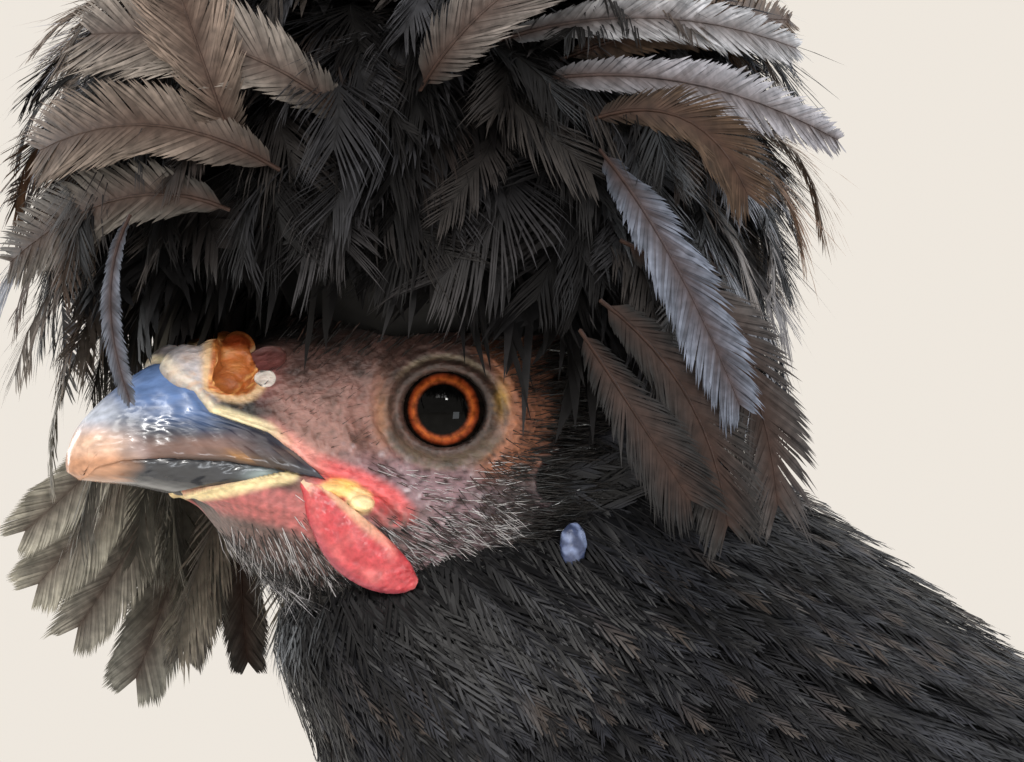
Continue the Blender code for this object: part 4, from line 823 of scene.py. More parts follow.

# The crest: a loose globe of long soft feathers over the skull. Each has a fine shaft and two rows of barbs
# that part towards their ends. They are black at the root and washed out to grey or rust at the tip: partly
# the feathers' own worn tone, partly painted backlight on the crest's top, front and back edges.


def feathers(lines, outs, half, barbs, seed, wide=1.3, forward=(52, 36), cup=0.2, shape=None, shaft=0.28,
             ragged=0.12):
    """Feathers as one set of triangles.

    lines and outs hold each feather's middle line and which way its face looks, by feather and station.
    A barb leaves the shaft at a share t of its length. It reaches half times the shape at t to one side, runs
    forward by that reach over the tangent of the barb's angle, and drops by the cup times its share squared.
    Returns points, triangles, and for each point its feather, share along the feather and share across it.
    """
    random = np.random.default_rng(seed)
    count, stations = lines.shape[:2]
    along = unit(np.gradient(lines, axis=1))
    across = unit(np.cross(along, outs))
    outs = np.cross(across, along)
    t = 0.04 + 0.955 * ((np.arange(barbs) + 0.5) / barbs) ** 0.92
    place = t * (stations - 1)
    low = np.minimum(place.astype(int), stations - 2)
    f = (place - low)[None, :, None]
    at, forth, side_way, out = (a[:, low] * (1 - f) + a[:, low + 1]
                                * f for a in (lines, along, across, outs))
    shape = shape or ([0, 0.08, 0.3, 0.62, 0.85, 1.0], [0.25, 0.5, 0.86, 1.0, 0.82, 0.34])
    reach = half[:, None] * np.interp(t, *shape)
    long = np.linalg.norm(np.diff(lines, axis=1), axis=-1).sum(axis=1)
    spacing = (long / barbs)[:, None, None, None] * wide
    points, owner, share_along, share_across, faces = [], [], [], [], []
    for side in (1, -1):
        clump = np.sin(t * random.uniform(9, 26, (count, 1)) + random.uniform(0, 7, (count, 1)))
        angle = np.radians(np.interp(t, [0, 1], forward)) * (1 + 0.16 * clump + ragged
                                                             * random.normal(size=(count, barbs)))
        size = reach * (1 + ragged * random.normal(size=(count, barbs)) + 0.06 * clump)
        ahead = size / np.tan(np.clip(angle, 0.30, 1.4))
        lift = 0.06 * half[:, None] * random.normal(size=(count, barbs)) + 0.05 * half[:, None] * clump
        s = np.array([0.0, 0.8, 1.0])[:, None]
        centre = (at[:, :, None] + (side * size[..., None] * s[:, 0])[..., None] * side_way[:, :, None]
                  + (ahead[..., None] * s[:, 0] ** 1.25)[..., None] * forth[:, :, None]
                  + (lift[..., None] * s[:, 0] - cup * size[..., None] * s[:, 0] ** 2)[..., None]
                  * out[:, :, None])
        ribbon = np.array([0.5, 0.46, 0.0])[:, None] * spacing * forth[:, :, None]
        pair = np.stack([centre - ribbon, centre + ribbon], axis=3).reshape(count, barbs, 6, 3)[:, :, :5]
        points.append(pair.reshape(-1, 3))
        owner.append(np.broadcast_to(np.arange(count)[:, None, None], (count, barbs, 5)).ravel())
        share_along.append(np.broadcast_to((t[:, None] + [0, 0, 0.06, 0.06, 0.1])[None],
                                           (count, barbs, 5)).ravel())
        share_across.append(np.broadcast_to(np.array([0, 0, 0.8, 0.8, 1.0]) * side,
                                            (count, barbs, 5)).ravel())
        first = np.arange(count * barbs)[:, None, None] * 5 + (side < 0) * count * barbs * 5
        pattern = np.array([[0, 2, 1], [1, 2, 3], [2, 4, 3]])
        faces.append((first + (pattern if side > 0 else pattern[:, ::-1])).reshape(-1, 3))
    thin = shaft * np.linspace(1, 0.25, stations)[None, :, None]
    corners = [across * thin, outs * thin * 1.2, -across * thin, -outs * thin * 0.6]
    quill = np.stack([lines + corner for corner in corners], axis=2)
    start = sum(len(p) for p in points)
    points.append(quill.reshape(-1, 3))
    owner.append(np.repeat(np.arange(count), stations * 4))
    share_along.append(np.tile(np.repeat(np.linspace(0, 1, stations), 4), count))
    share_across.append(np.zeros(count * stations * 4))
    i, k = np.meshgrid(np.arange(stations - 1), np.arange(4), indexing="ij")
    a, b = (i * 4 + k).ravel(), (i * 4 + (k + 1) % 4).ravel()
    strip = np.concatenate([np.stack([a, a + 4, b], -1), np.stack([b, a + 4, b + 4], -1)])
    faces.append((strip + start + (np.arange(count) * stations * 4)[:, None, None]).reshape(-1, 3))
    return (np.concatenate(points), np.concatenate(faces), np.concatenate(owner),
            np.concatenate(share_along), np.concatenate(share_across))


def all_feathers(parts):
    """Several sets of feathers as one, with their triangles and owners counted on."""
    starts = np.cumsum([0] + [len(p[0]) for p in parts[:-1]])
    owners = np.cumsum([0] + [p[2].max() + 1 for p in parts[:-1]])
    return (np.concatenate([p[0] for p in parts]), np.concatenate([p[1] + s for p,
                                                                   s in zip(parts, starts)]),
            np.concatenate([p[2] + s for p, s in zip(parts, owners)]),
            np.concatenate([p[3] for p in parts]), np.concatenate([p[4] for p in parts]))


def coat(name, made, roots, finish, tints):
    """A piece of feathers. Each feather's bake patch is 0.003 wide, at its root's place on the bake sheet."""
    points, faces, owner, along, across = made
    patch = roots[owner] + 0.003 * np.stack([np.clip(along, 0, 1), 0.5 + 0.5 * across], axis=-1)
    placed = piece(name, points, faces, finish, patch[faces], tints)
    return placed


def plumage(name, roughness, sheen):
    """The finish of feathers: each point's own colour, streaked along the barbs, with a soft sheen."""
    made, tree, shader = new_material(name, roughness)
    own = node(tree, "ShaderNodeAttribute", attribute_name="tint")["Color"]
    where = node(tree, "ShaderNodeTexCoord")["Object"]
    streak = node(tree, "ShaderNodeTexNoise", {"Vector": where, "Scale": 900.0, "Detail": 2.0})["Fac"]
    shade = node(tree, "ShaderNodeMapRange", {"Value": streak, 1: 0.3, 2: 0.7, 3: 0.72, 4: 1.3})[0]
    colour = node(tree, "ShaderNodeVectorMath", {0: own, "Scale": shade}, operation="SCALE")[0]
    tree.links.new(colour, shader.inputs["Base Color"])
    shader.inputs["Sheen Weight"].default_value = sheen
    shader.inputs["Sheen Roughness"].default_value = 0.4
    shader.inputs["Specular IOR Level"].default_value = 0.22
    return made


SOFT_PLUMAGE = plumage("crest_plumage", 0.58, 0.01)
SOFT_PLUMAGE.node_tree.nodes["Principled BSDF"].inputs["Specular IOR Level"].default_value = 0.14
CREST_MID = np.array([0.0, 5.0, 18.0])
CREST_RISE, CREST_CORE = 44.0, 0.42
CREST_COMPASS = np.array([-180, -150, -115, -80, -50, -25, 0, 40, 80, 115, 150, 180])
CREST_REACH = np.array([41, 43, 46, 47.5, 48, 48, 45, 42, 40, 40, 40, 41])
CREST_LOW = np.array([-28, -30, -40, -46, -44, -16, -4, -9, -12, -22, -28, -28])


def plume_lines(turn, height, reach, seed, stations=9, swirl=10.0, wave=1.2):
    """Lines of crest feathers: a curve from the core's surface, out and over, that ends along the globe.

    turn is in degrees from the bill towards the hen's left, and height is the tip's over the globe's middle.
    The curve is (1 - t)^2 root + 2 t (1 - t) bend + t^2 tip, swirled sideways and waved a little.
    """
    random = np.random.default_rng(seed)
    count = len(turn)
    t = np.linspace(0, 1, stations)
    up = height > 0
    lean = np.where(up, np.arcsin(np.clip(height / CREST_RISE, -0.97, 0.97)), height / 60)
    tip = np.stack([np.where(up, reach * np.cos(lean) ** 0.7, reach * (1 - 0.10 * (height / 30) ** 2)),
                    height], -1)
    end_way = np.where(up[:, None], np.stack([np.sin(lean) * reach, -np.cos(lean) * CREST_RISE], -1),
                       np.stack([0.12 * reach * height / 30, np.full(count, -CREST_RISE)], -1))
    end_way = unit(end_way) + np.stack([np.interp(height, [-10, 10, 30], [0.2, 0.12, -0.12]),
                                        np.zeros(count)], -1)
    from_lat = np.minimum(lean + 0.72, 1.45)
    root = 0.9 * CREST_CORE * np.stack([reach * np.cos(from_lat), CREST_RISE * np.sin(from_lat)], -1)
    span = np.linalg.norm(tip - root, axis=1)
    bend = tip - end_way * 0.52 * span[:, None]
    a, b, c = (1 - t) ** 2, 2 * t * (1 - t), t**2
    flat = a[None, :, None] * root[:, None] + b[None, :, None] * bend[:, None] + c[None, :, None] * tip[:,
                                                                                                        None]
    slope = 2 * (1 - t)[None, :, None] * (bend - root)[:, None] + 2 * t[None, :, None] * (tip - bend)[:,
                                                                                                      None]
    turned = np.radians(turn)[:, None] + np.radians(random.normal(0, swirl, (count, 1))) * t**1.5
    turned = turned + np.radians(random.normal(0, 5, (count, 1))) * np.sin(t * 5
                                                                           + random.uniform(0, 7,
                                                                                            (count, 1)))
    ahead = np.stack([np.sin(turned), -np.cos(turned), np.zeros_like(turned)], -1)
    lines = flat[..., :1] * ahead + flat[..., 1:] * [0, 0, 1]
    outs = -slope[..., 1:] * ahead + slope[..., :1] * [0, 0, 1]
    roll = random.normal(0, 0.35, (count, 1, 1)) * t[:, None]
    side_way = unit(np.cross(unit(np.gradient(lines, axis=1)), unit(outs)))
    lines = lines + unit(outs) * (wave * np.sin(t * 4 + random.uniform(0, 7, (count, 1))) * t)[..., None]
    return lines + CREST_MID + EYE_MID, unit(unit(outs) + roll * side_way)


def crest_layer(seed, share, tiers):
    """Turn, tip height and reach of one layer's feathers, none of which hangs below its limit."""
    random = np.random.default_rng(seed)
    turn, height, reach = [], [], []
    for tier, (high, count) in enumerate(tiers):
        around = 360 * (np.arange(count) + 0.5 * (tier % 2) + random.uniform(-0.35, 0.35, count)) / count
        turn.append((around + 180) % 360 - 180)
        height.append(high + random.normal(0, 3.0, count))
        reach.append(share * random.uniform(0.88, 1.05, count))
    turn, height, reach = map(np.concatenate, (turn, height, reach))
    low = np.interp(turn, CREST_COMPASS, CREST_LOW)
    low = low + 7 * ramp(0, 25, turn) * ramp(125, 100, turn) + 7 * (1 - share)
    keep = height > low - 7
    turn, height, reach = turn[keep], np.clip(height, low, 42.6)[keep], reach[keep]
    height = np.where(height > 0, height * (0.55 + 0.45 * share), height)
    return turn, height, reach * np.interp(turn, CREST_COMPASS, CREST_REACH)


def hold_in_front(points, furthest=48.0, give=5.0):
    """Points far in front of the eye drawn back: beyond the furthest place they go on by the give at most."""
    front = EYE_MID[1] - furthest
    beyond = np.maximum(front - points[:, 1], 0)
    points[:, 1] = np.where(beyond > 0, front - give * (1 - np.exp(-beyond / give)), points[:, 1])


OUTER_TIERS = ((42.4, 9), (39, 9), (36, 12), (31, 18), (25, 26), (18, 30), (11, 34), (4, 36), (-3, 34),
               (-10, 32),
               (-18, 30), (-26, 30), (-34, 28), (-42, 22))
# Each layer: name, seed, share of the reach, tiers, half widths, barbs, their width and their angles.
CREST_LAYERS = (
    ("crest_outer", 71, 1.0, OUTER_TIERS, (2.8, 5.4), 80, 0.95, (40, 24)),
    ("crest_under", 74, 0.92, OUTER_TIERS, (2.8, 5.4), 80, 0.95, (40, 24)),
    ("crest_inner", 72, 0.80, OUTER_TIERS[:10], (5, 8), 34, 1.35, (52, 36)),
    ("crest_deep", 73, 0.62, OUTER_TIERS[1:10], (8, 11), 18, 1.35, (52, 36)),
)
for name, seed, share, tiers, half, barbs, wide, forward in CREST_LAYERS:
    turn, height, reach = crest_layer(seed, share, tiers)
    random = np.random.default_rng(seed + 100)
    lines, outs = plume_lines(turn, height, reach, seed)
    made = feathers(lines, outs, random.uniform(*half, len(turn)), barbs, seed, wide=wide, forward=forward,
                    ragged=0.12, cup=0.3, shaft=0.2)
    points, faces, owner, along, across = made
    hold_in_front(points)
    place = points - EYE_MID - CREST_MID
    compass = np.degrees(np.arctan2(place[:, 0], -place[:, 1]))
    far_out = np.linalg.norm(place / [44, 46, 44], axis=1)
    washed = random.uniform(0, 1, len(turn))[owner]
    # Painted backlight: feathers at the crest's top, front and back edges, seen against the light, turn
    # paler.
    backlit_side = np.maximum(ramp(18, 38, place[:, 2]), np.maximum(ramp(20, -20, compass)
                                                                 * ramp(-160, -120, compass),
                                                                ramp(105, 140, np.abs(compass))))
    wear_and_backlight = ramp(0.55, 1.0, far_out) * share**3 * (0.06 + 0.94 * backlit_side) * ramp(0.1, 0.7, washed)
    colour = np.broadcast_to(lighter(15, 14, 15), points.shape)
    colour = mix(colour, lighter(44, 42, 43), ramp(0.5, 0.95, far_out) * washed**2 * 0.8)
    warm, cool, rust = lighter(160, 146, 135), lighter(156, 160, 172), lighter(126, 96, 74)
    tone = random.uniform(0, 1, len(turn))[owner]
    pale = mix(np.broadcast_to(warm, points.shape), cool,
               ramp(0.45, 0.75, tone + 0.25 * ramp(20, 120, compass) - 0.1))
    pale = mix(pale, rust, ramp(0.22, 0.08, tone))
    colour = mix(colour, pale, wear_and_backlight * 0.85)
    # Painted backlight: the low feathers of the far side, which lie in shade, are lifted to a pale grey.
    hanging_backlight = ramp(-10, -22, place[:, 2]) * ramp(20, -20, compass) * ramp(-150, -110, compass)
    colour = mix(colour, lighter(150, 146, 134) * (0.5 + 0.6 * washed[:, None]), hanging_backlight * 0.75)
    colour = mix(colour, colour * 0.35, (np.abs(across) < 0.01) * 0.9)
    roots = on_sheet("crest", np.stack([(turn + 180) / 360, (height + 48) / 90], -1))
    layer = coat(name, made, roots, SOFT_PLUMAGE, colour)
    if name == "crest_outer":
        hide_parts("crest")
lat, turn = np.meshgrid(np.linspace(0.05, np.pi - 0.05, 24), np.arange(36) * 2 * np.pi / 36, indexing="ij")
core = np.stack([np.sin(lat) * np.cos(turn), np.sin(lat) * np.sin(turn), np.cos(lat)], -1) * [17.5, 18.5,
                                                                                              15]
core_points, core_faces, core_share = tube(core + CREST_MID + EYE_MID)
crest_knob = piece("crest_knob", core_points, core_faces, SOFT_PLUMAGE, on_sheet("crest", core_share),
                   np.broadcast_to(lighter(12, 12, 12), core_points.shape))

# A few long feathers stand out of the globe: washed-out ones sweep up from the front and back from the rear,
# and on the far side a fan of broad grey ones hangs past the bill. Each is placed by three points of the
# picture and how far each stands off the crest's near side or, where under -20, how far behind the eye it is.
LONG_PLUMES = (
    # root, bend and tip in the picture, the stand or depth of each, half width, colour
    ((600, 150), (672, 235), (740, 405), (-4, 8, 6), 3.3, (128, 136, 154)),
    ((540, 80), (690, 55), (838, 140), (-6, 7, 7), 2.9, (178, 176, 184)),
    ((500, 40), (650, -10), (796, 48), (-6, 7, 7), 2.8, (190, 190, 195)),
    ((590, 120), (700, 80), (748, 195), (-6, 6, 6), 3.4, (92, 74, 60)),
    ((560, 60), (680, 10), (790, 20), (-8, 4, 4), 3.2, (104, 84, 68)),
    ((235, 150), (205, 70), (168, -40), (-4, 12, 14), 5.2, (160, 142, 130)),
    ((350, 120), (240, 20), (92, 34), (-5, 12, 14), 5.4, (168, 158, 150)),
    ((280, 170), (150, 90), (40, 150), (-4, 12, 13), 4.6, (148, 134, 124)),
    ((230, 210), (120, 160), (10, 262), (-4, 9, 11), 4.2, (120, 114, 108)),
    ((420, 90), (470, 0), (590, -60), (-4, 12, 13), 5.0, (150, 142, 138)),
    ((130, 215), (90, 290), (130, 402), (3, 11, 12), 1.2, (118, 124, 138)),
    ((620, 240), (760, 300), (778, 505), (-8, 3, 3), 4.4, (86, 82, 82)),
    ((600, 300), (710, 380), (728, 525), (-6, 3, 4), 4.0, (62, 60, 60)),
    ((580, 330), (640, 420), (690, 500), (-6, 3, 4), 3.6, (48, 47, 48)),
    ((190, 350), (130, 440), (25, 531), (-42, -46, -44), 3.4, (164, 160, 148)),
    ((205, 360), (140, 470), (38, 584), (-44, -48, -46), 4.2, (158, 154, 142)),
    ((215, 380), (160, 510), (78, 627), (-46, -50, -48), 4.0, (150, 146, 136)),
    ((225, 380), (190, 540), (136, 678), (-48, -52, -50), 4.4, (126, 124, 116)),
    ((235, 400), (210, 560), (186, 648), (-50, -53, -51), 3.2, (112, 108, 102)),
    ((245, 420), (235, 560), (248, 662), (-50, -54, -50), 2.8, (84, 80, 76)),
)


def seen(spot, ahead):
    """A point in space from its place in the picture and how far it lies in front of the eye, in mm."""
    right, down = (np.array(spot) - PICTURE_MID) * (VIEW_AWAY - ahead) / PIXELS_AWAY
    return VIEW_AIM + VIEW_BACK * ahead + VIEW_RIGHT * right - [0, 0, down]


def on_globe(spot, stand):
    """How far ahead of the eye the crest's near side lies at a place in the picture, and a stand more.

    The near side is a globe above its middle and an upright cylinder below it.
    """
    right, down = (np.array(spot) - PICTURE_MID) * VIEW_AWAY / PIXELS_AWAY
    middle = EYE_MID + CREST_MID - VIEW_AIM
    aside = math.hypot(right - middle @ VIEW_RIGHT, max(-down - middle[2], 0))
    return middle @ VIEW_BACK + math.sqrt(max(CREST_RISE**2 - aside**2, 0)) + stand


t = np.linspace(0, 1, 12)[:, None]
marks = [[seen(spot, ahead if ahead < -20 else on_globe(spot, ahead)) for spot,
          ahead in zip(plume[:3], plume[3])]
         for plume in LONG_PLUMES]
lines = np.array([(1 - t) ** 2 * a + 2 * t * (1 - t) * b + t**2 * c for a, b, c in marks])
far_side = np.array([p[3][0] < -20 for p in LONG_PLUMES])
outs = unit(lines - (EYE_MID + CREST_MID)) + 1.1 * VIEW_BACK * np.where(far_side, -1, 1)[:, None, None]
LONG_BARBS = 150
made = feathers(lines, unit(outs), np.array([p[4] for p in LONG_PLUMES]), LONG_BARBS, 75, wide=2.6,
                forward=(42, 26), cup=0.15,
                shape=([0, 0.12, 0.4, 0.7, 0.9, 1.0], [0.2, 0.55, 0.95, 1.0, 0.75, 0.3]), shaft=0.24,
                ragged=np.where(far_side, 0.02, 0.08)[:, None])
points, faces, owner, along, across = made
hold_in_front(points)
pale = np.array([lighter(*p[5]) for p in LONG_PLUMES])[owner]
random = np.random.default_rng(76)
by_barb = np.repeat(random.uniform(0.55, 1.15, 2 * LONG_BARBS * len(LONG_PLUMES)), 5)
streaks = (0.92 + 0.2 * ripple(points, 4, 76)) * np.append(by_barb, np.ones(len(points) - len(by_barb)))
shown = np.where(far_side, 1.05, 0.62)[owner] * streaks
colour = mix(pale * shown[:, None], pale * 0.1, ramp(0.45, 0.05, along)
             * np.where(far_side, 0.5, 1.0)[owner])
colour = mix(colour, lighter(52, 36, 30), (np.abs(across) < 0.01) * 0.85)
place = lines[:, 0] - EYE_MID - CREST_MID
roots = on_sheet("crest", np.stack([np.degrees(np.arctan2(place[:, 0], -place[:, 1])) / 360 + 0.5,
                                    (place[:, 2] + 48) / 100], -1))
coat("crest_long", made, roots, SOFT_PLUMAGE, colour)

# The hackle and the body's small feathers: they root in the skin, lie along it towards the tail, and lap
# over one another. Those of the neck are narrow and loose, and their tips catch the light.


def over_body(count, seed, at_low, at_high):
    """Roots spread evenly over the body between two rows: a low-discrepancy row through its area."""
    rows = np.linspace(at_low, at_high, 300)
    rings = body_point(rows[:, None], np.arange(24)[None] * 2 * np.pi / 24)
    girth = np.linalg.norm(np.diff(rings, axis=1, append=rings[:, :1]), axis=-1).sum(axis=1)
    step = np.linalg.norm(np.gradient(rings, axis=0), axis=-1).mean(axis=1)
    area = np.cumsum(girth * step)
    index = np.arange(count) + 0.5
    at = np.interp((index * 0.7548776662) % 1, (area - area[0]) / (area[-1] - area[0]), rows)
    random = np.random.default_rng(seed)
    return at + random.normal(0, 0.01, count), (index * 0.5698402910) % 1 * 2 * np.pi


def lie_along(surface, at, angle, long, depth, stations, droop=0.0, tip_lift=0.0):
    """Feather lines that follow a surface in the direction of its rows: t times the length further on, and
    raised from the skin's depth at the root to the surface at the tip."""
    t = np.linspace(0, 1, stations)
    stride = np.linalg.norm(surface(at + 0.01, angle) - surface(at - 0.01, angle), axis=-1) / 0.02
    rows = at[:, None] + (long / stride)[:, None] * t
    turns = angle[:, None] + (droop[:, None] if np.ndim(droop) else droop) * t
    here, _, out = lie(surface, rows, turns)
    height = -depth[:, None] * (1 - t) ** 1.3 + (tip_lift[:,
                                                          None] if np.ndim(tip_lift) else tip_lift) * t**2
    return here + out * height[..., None], out


BODY_PLUMAGE = plumage("body_plumage", 0.42, 0.02)


def black_tones_and_sheen(made, seed, tip=0.5):
    """Near-black, paler towards the ends of some feathers: a painted blue-grey sheen, and brown on a few."""
    points, _, owner, along, _ = made
    random = np.random.default_rng(seed)
    tone = random.uniform(0, 1, owner.max() + 1)[owner]
    colour = np.broadcast_to(lighter(17, 17, 19), points.shape)
    colour = mix(colour, lighter(52, 54, 62), ramp(0.35, 1.0, along) * tone**2 * tip)
    return mix(colour, lighter(60, 52, 46), ramp(0.6, 1.0, along) * (tone > 0.88) * tip)


# Each coat: name, count, seed, first and last row of the body, lengths, half widths, barbs and stations.
for name, count, seed, low, high, long, half, barbs, stations in (
        ("hackle_upper", 1650, 81, 0.05, 2.6, (13, 19), (1.1, 1.9), 14, 4),
        ("hackle_middle", 1650, 85, 2.3, 4.4, (16, 23), (1.5, 2.4), 14, 4),
        ("hackle_lower", 1450, 82, 4.0, 5.9, (20, 28), (2.2, 3.4), 16, 4),
        ("body_front", 1100, 83, 5.6, 10.2, (22, 28), (6.0, 7.8), 14, 4),
        ("body_rear", 850, 84, 10.0, 14.7, (20, 28), (6.0, 7.8), 14, 4)):
    at, angle = over_body(count, seed, low, high)
    random = np.random.default_rng(seed + 100)
    length = random.uniform(*long, count)
    depth = np.interp(at, [0, 1, 3, 6, 15], [3.2, 3.6, 4.2, 5.0, 5.0])
    lines, outs = lie_along(body_point, at, angle, length, depth, stations,
                            random.normal(0, 0.05, count), random.uniform(-0.4, 1.0, count))
    narrow = "hackle" in name
    made = feathers(lines, outs, random.uniform(*half, count), barbs, seed, wide=0.62 if narrow else 1.4,
                    forward=(26, 14) if narrow else (52, 26), cup=0.15, shaft=0.16,
                    ragged=0.22 if narrow else 0.12,
                    shape=([0, 0.1, 0.45, 0.8, 1.0], [0.5, 0.9, 1.0, 0.6, 0.25]) if narrow else None)
    tints = black_tones_and_sheen(made, seed, 0.8 if narrow else 0.5)
    roots = on_sheet("body", np.stack([at / 15, angle / (2 * np.pi)], -1))
    coat(name, made, roots, BODY_PLUMAGE, tints)
for side in (1, -1):
    count = 170
    random = np.random.default_rng(90 + side)
    index = np.arange(count) + 0.5
    at, angle = 0.3 + 5.3 * ((index * 0.7548776662) % 1) ** 0.9, (index * 0.5698402910) % 1 * 2 * np.pi
    lines, outs = lie_along(lambda u, v: thigh_point(u, -v, side), at, angle, random.uniform(15, 20, count),
                            np.full(count, 3.0), 4, 0.0, random.uniform(-0.5, 0.8, count))
    made = feathers(lines, outs, random.uniform(4.0, 5.5, count), 14, 90 + side, wide=1.4, cup=0.15,
                    shaft=0.15)
    roots = on_sheet(f"thigh{side}", np.stack([at / 6, angle / (2 * np.pi)], -1))
    coat(f"thigh_coat_{'left' if side > 0 else 'right'}", made, roots, BODY_PLUMAGE,
         black_tones_and_sheen(made, 90 + side))

# The wings, folded on the body's sides: long flight feathers low and behind, and rows of shorter coverts
# over their roots, each row over the one behind it, on a rounded shoulder.


def body_side(y, z):
    """Half width of the body at points of the side view, from the section that passes through each."""
    front_y, front_z, back_y, back_z, half = smooth(BODY[:15], np.linspace(0, 14, 300)).T
    y, z = y[..., None], z[..., None]
    long_y, long_z = back_y - front_y, back_z - front_z
    ahead = long_y * (z - front_z) - long_z * (y - front_y)
    row = np.where((ahead < 0).all(axis=-1), 299, np.argmax(ahead >= 0, axis=-1))
    share = ((y - front_y) * long_y + (z - front_z) * long_z) / (long_y**2 + long_z**2)
    share = np.take_along_axis(share, row[..., None], axis=-1)[..., 0]
    c = np.clip(np.abs(2 * share - 1), 0, 1) ** (1 / BODY_ROUND)
    return half[row] * np.sqrt(np.clip(1 - c**2, 0, 1)) ** BODY_ROUND


def wing_sheet(y, z, lift):
    """The surface under a folded wing: a soft maximum of the body's side and a flat plane behind it."""
    flat = (60 - 0.15 * y) - 30 * np.clip((70 - y) / 70, 0, 1) - 0.5 * np.clip(z - 215, 0, None)
    side = body_side(y, z)
    return np.stack([(side + flat + np.sqrt((side - flat) ** 2 + 16)) / 2 + lift, y, z], axis=-1)


def wing_out(y, z):
    """Which way is out from the wing's surface."""
    slope_y = (wing_sheet(y + 1.5, z, 0) - wing_sheet(y - 1.5, z, 0))[..., 0] / 3
    slope_z = (wing_sheet(y, z + 1.5, 0) - wing_sheet(y, z - 1.5, 0))[..., 0] / 3
    return unit(np.stack([np.ones_like(slope_y), -slope_y, -slope_z], axis=-1))


# Rows of a wing: number, first and last root (y, z), slopes in degrees, lengths, half widths and heights.
WING_ROWS = (
    (8, (22, 202), (6, 183), (-4, 0), (98, 84), (6.0, 7.0), (2.4, 1.5)),
    (14, (2, 232), (-8, 177), (-12, -2), (97, 66), (8.5, 8.5), (4.7, 2.8)),
    (14, (-22, 236), (-34, 179), (-12, -3), (50, 38), (7.6, 7.0), (5.7, 4.0)),
    (13, (-38, 240), (-48, 181), (-12, -3), (38, 30), (7.0, 6.5), (6.6, 4.8)),
    (12, (-50, 240), (-59, 184), (-12, -4), (30, 24), (6.4, 6.0), (7.2, 5.2)),
    (9, (-60, 237), (-66, 192), (-13, -5), (25, 20), (6.0, 5.5), (7.0, 5.2)),
    (7, (-42, 252), (-30, 232), (-6, -10), (62, 52), (8.0, 7.5), (8.0, 7.0)),
)
WING_PLUMAGE = plumage("wing_plumage", 0.36, 0.02)
for side, word in ((1, "left"), (-1, "right")):
    ring = np.arange(40) * 2 * np.pi / 40
    share = np.concatenate([np.linspace(0.03, 1, 14), np.linspace(1, 0.03, 10)])
    depth = np.concatenate([0.6 + 5.5 * np.sqrt(1 - (0.98 * np.linspace(0.03, 1, 14)) ** 2),
                            np.full(10, -1.2)])
    y = -16 + 56 * share[:, None] * np.cos(ring)
    z = 210 + 25.5 * share[:, None] * np.sin(ring) - 0.05 * 58 * share[:, None] * np.cos(ring)
    shoulder = tube(wing_sheet(y, z, depth[:, None]) * [side, 1, 1] + SHIFT)
    parts, roots = [], []
    for row, (count, first, last, slopes, lengths, halves, lifts) in enumerate(WING_ROWS):
        s = np.arange(count) / (count - 1)
        random = np.random.default_rng(200 + row)
        slope = np.radians(np.interp(s, [0, 1], slopes) + random.normal(0, 1.0, count))
        long = np.interp(s, [0, 1], lengths) * random.uniform(0.95, 1.04, count)
        t = np.linspace(0, 1, 7)
        y = (first[0] + (last[0] - first[0]) * s)[:, None] + (long * np.cos(slope))[:, None] * t
        z = (first[1] + (last[1] - first[1]) * s)[:, None] + (long * np.sin(slope))[:, None] * t
        lift = np.interp(s, [0, 1], lifts)[:, None] + 0.35 * (np.arange(count) % 2)[:, None] - 0.5 * (1 - t)
        lines = wing_sheet(y, z, lift) * [side, 1, 1] + SHIFT
        outs = wing_out(y, z)
        up = unit(np.cross(outs, unit(np.gradient(y, axis=1)[..., None] * [0, 1, 0]
                                      + np.gradient(z, axis=1)[..., None]
                                      * [0, 0, 1])))
        outs = unit(outs - 0.10 * up) * [side, 1, 1]
        parts.append((lines, outs, np.interp(s, [0, 1], halves), (40, 44, 26, 22, 18, 16, 34)[row], row))
        roots.append(on_sheet(f"wing{side}", np.stack([(y[:, 0] + 80) / 160, (z[:, 0] - 150) / 110], -1)))
    made = [feathers(lines, outs, half, barbs, 210 + row, wide=1.5, forward=(48, 30), cup=0.1, shaft=0.32,
                     ragged=0.05,
                     shape=([0, 0.1, 0.4, 0.75, 0.93, 1.0], [0.4, 0.75, 1.0, 0.98, 0.7, 0.3]))
            for lines, outs, half, barbs, row in parts]
    whole = all_feathers(made)
    wing = coat(f"wing_feathers_{word}", whole, np.concatenate(roots), WING_PLUMAGE,
                black_tones_and_sheen(whole, 220, 0.35))
    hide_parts(f"wing_{word}")
    piece(f"wing_shoulder_{word}", *shoulder[:2], WING_PLUMAGE,
                  on_sheet(f"wing{side}", shoulder[2]),
                  np.broadcast_to(BLACK_SKIN, shoulder[0].shape))

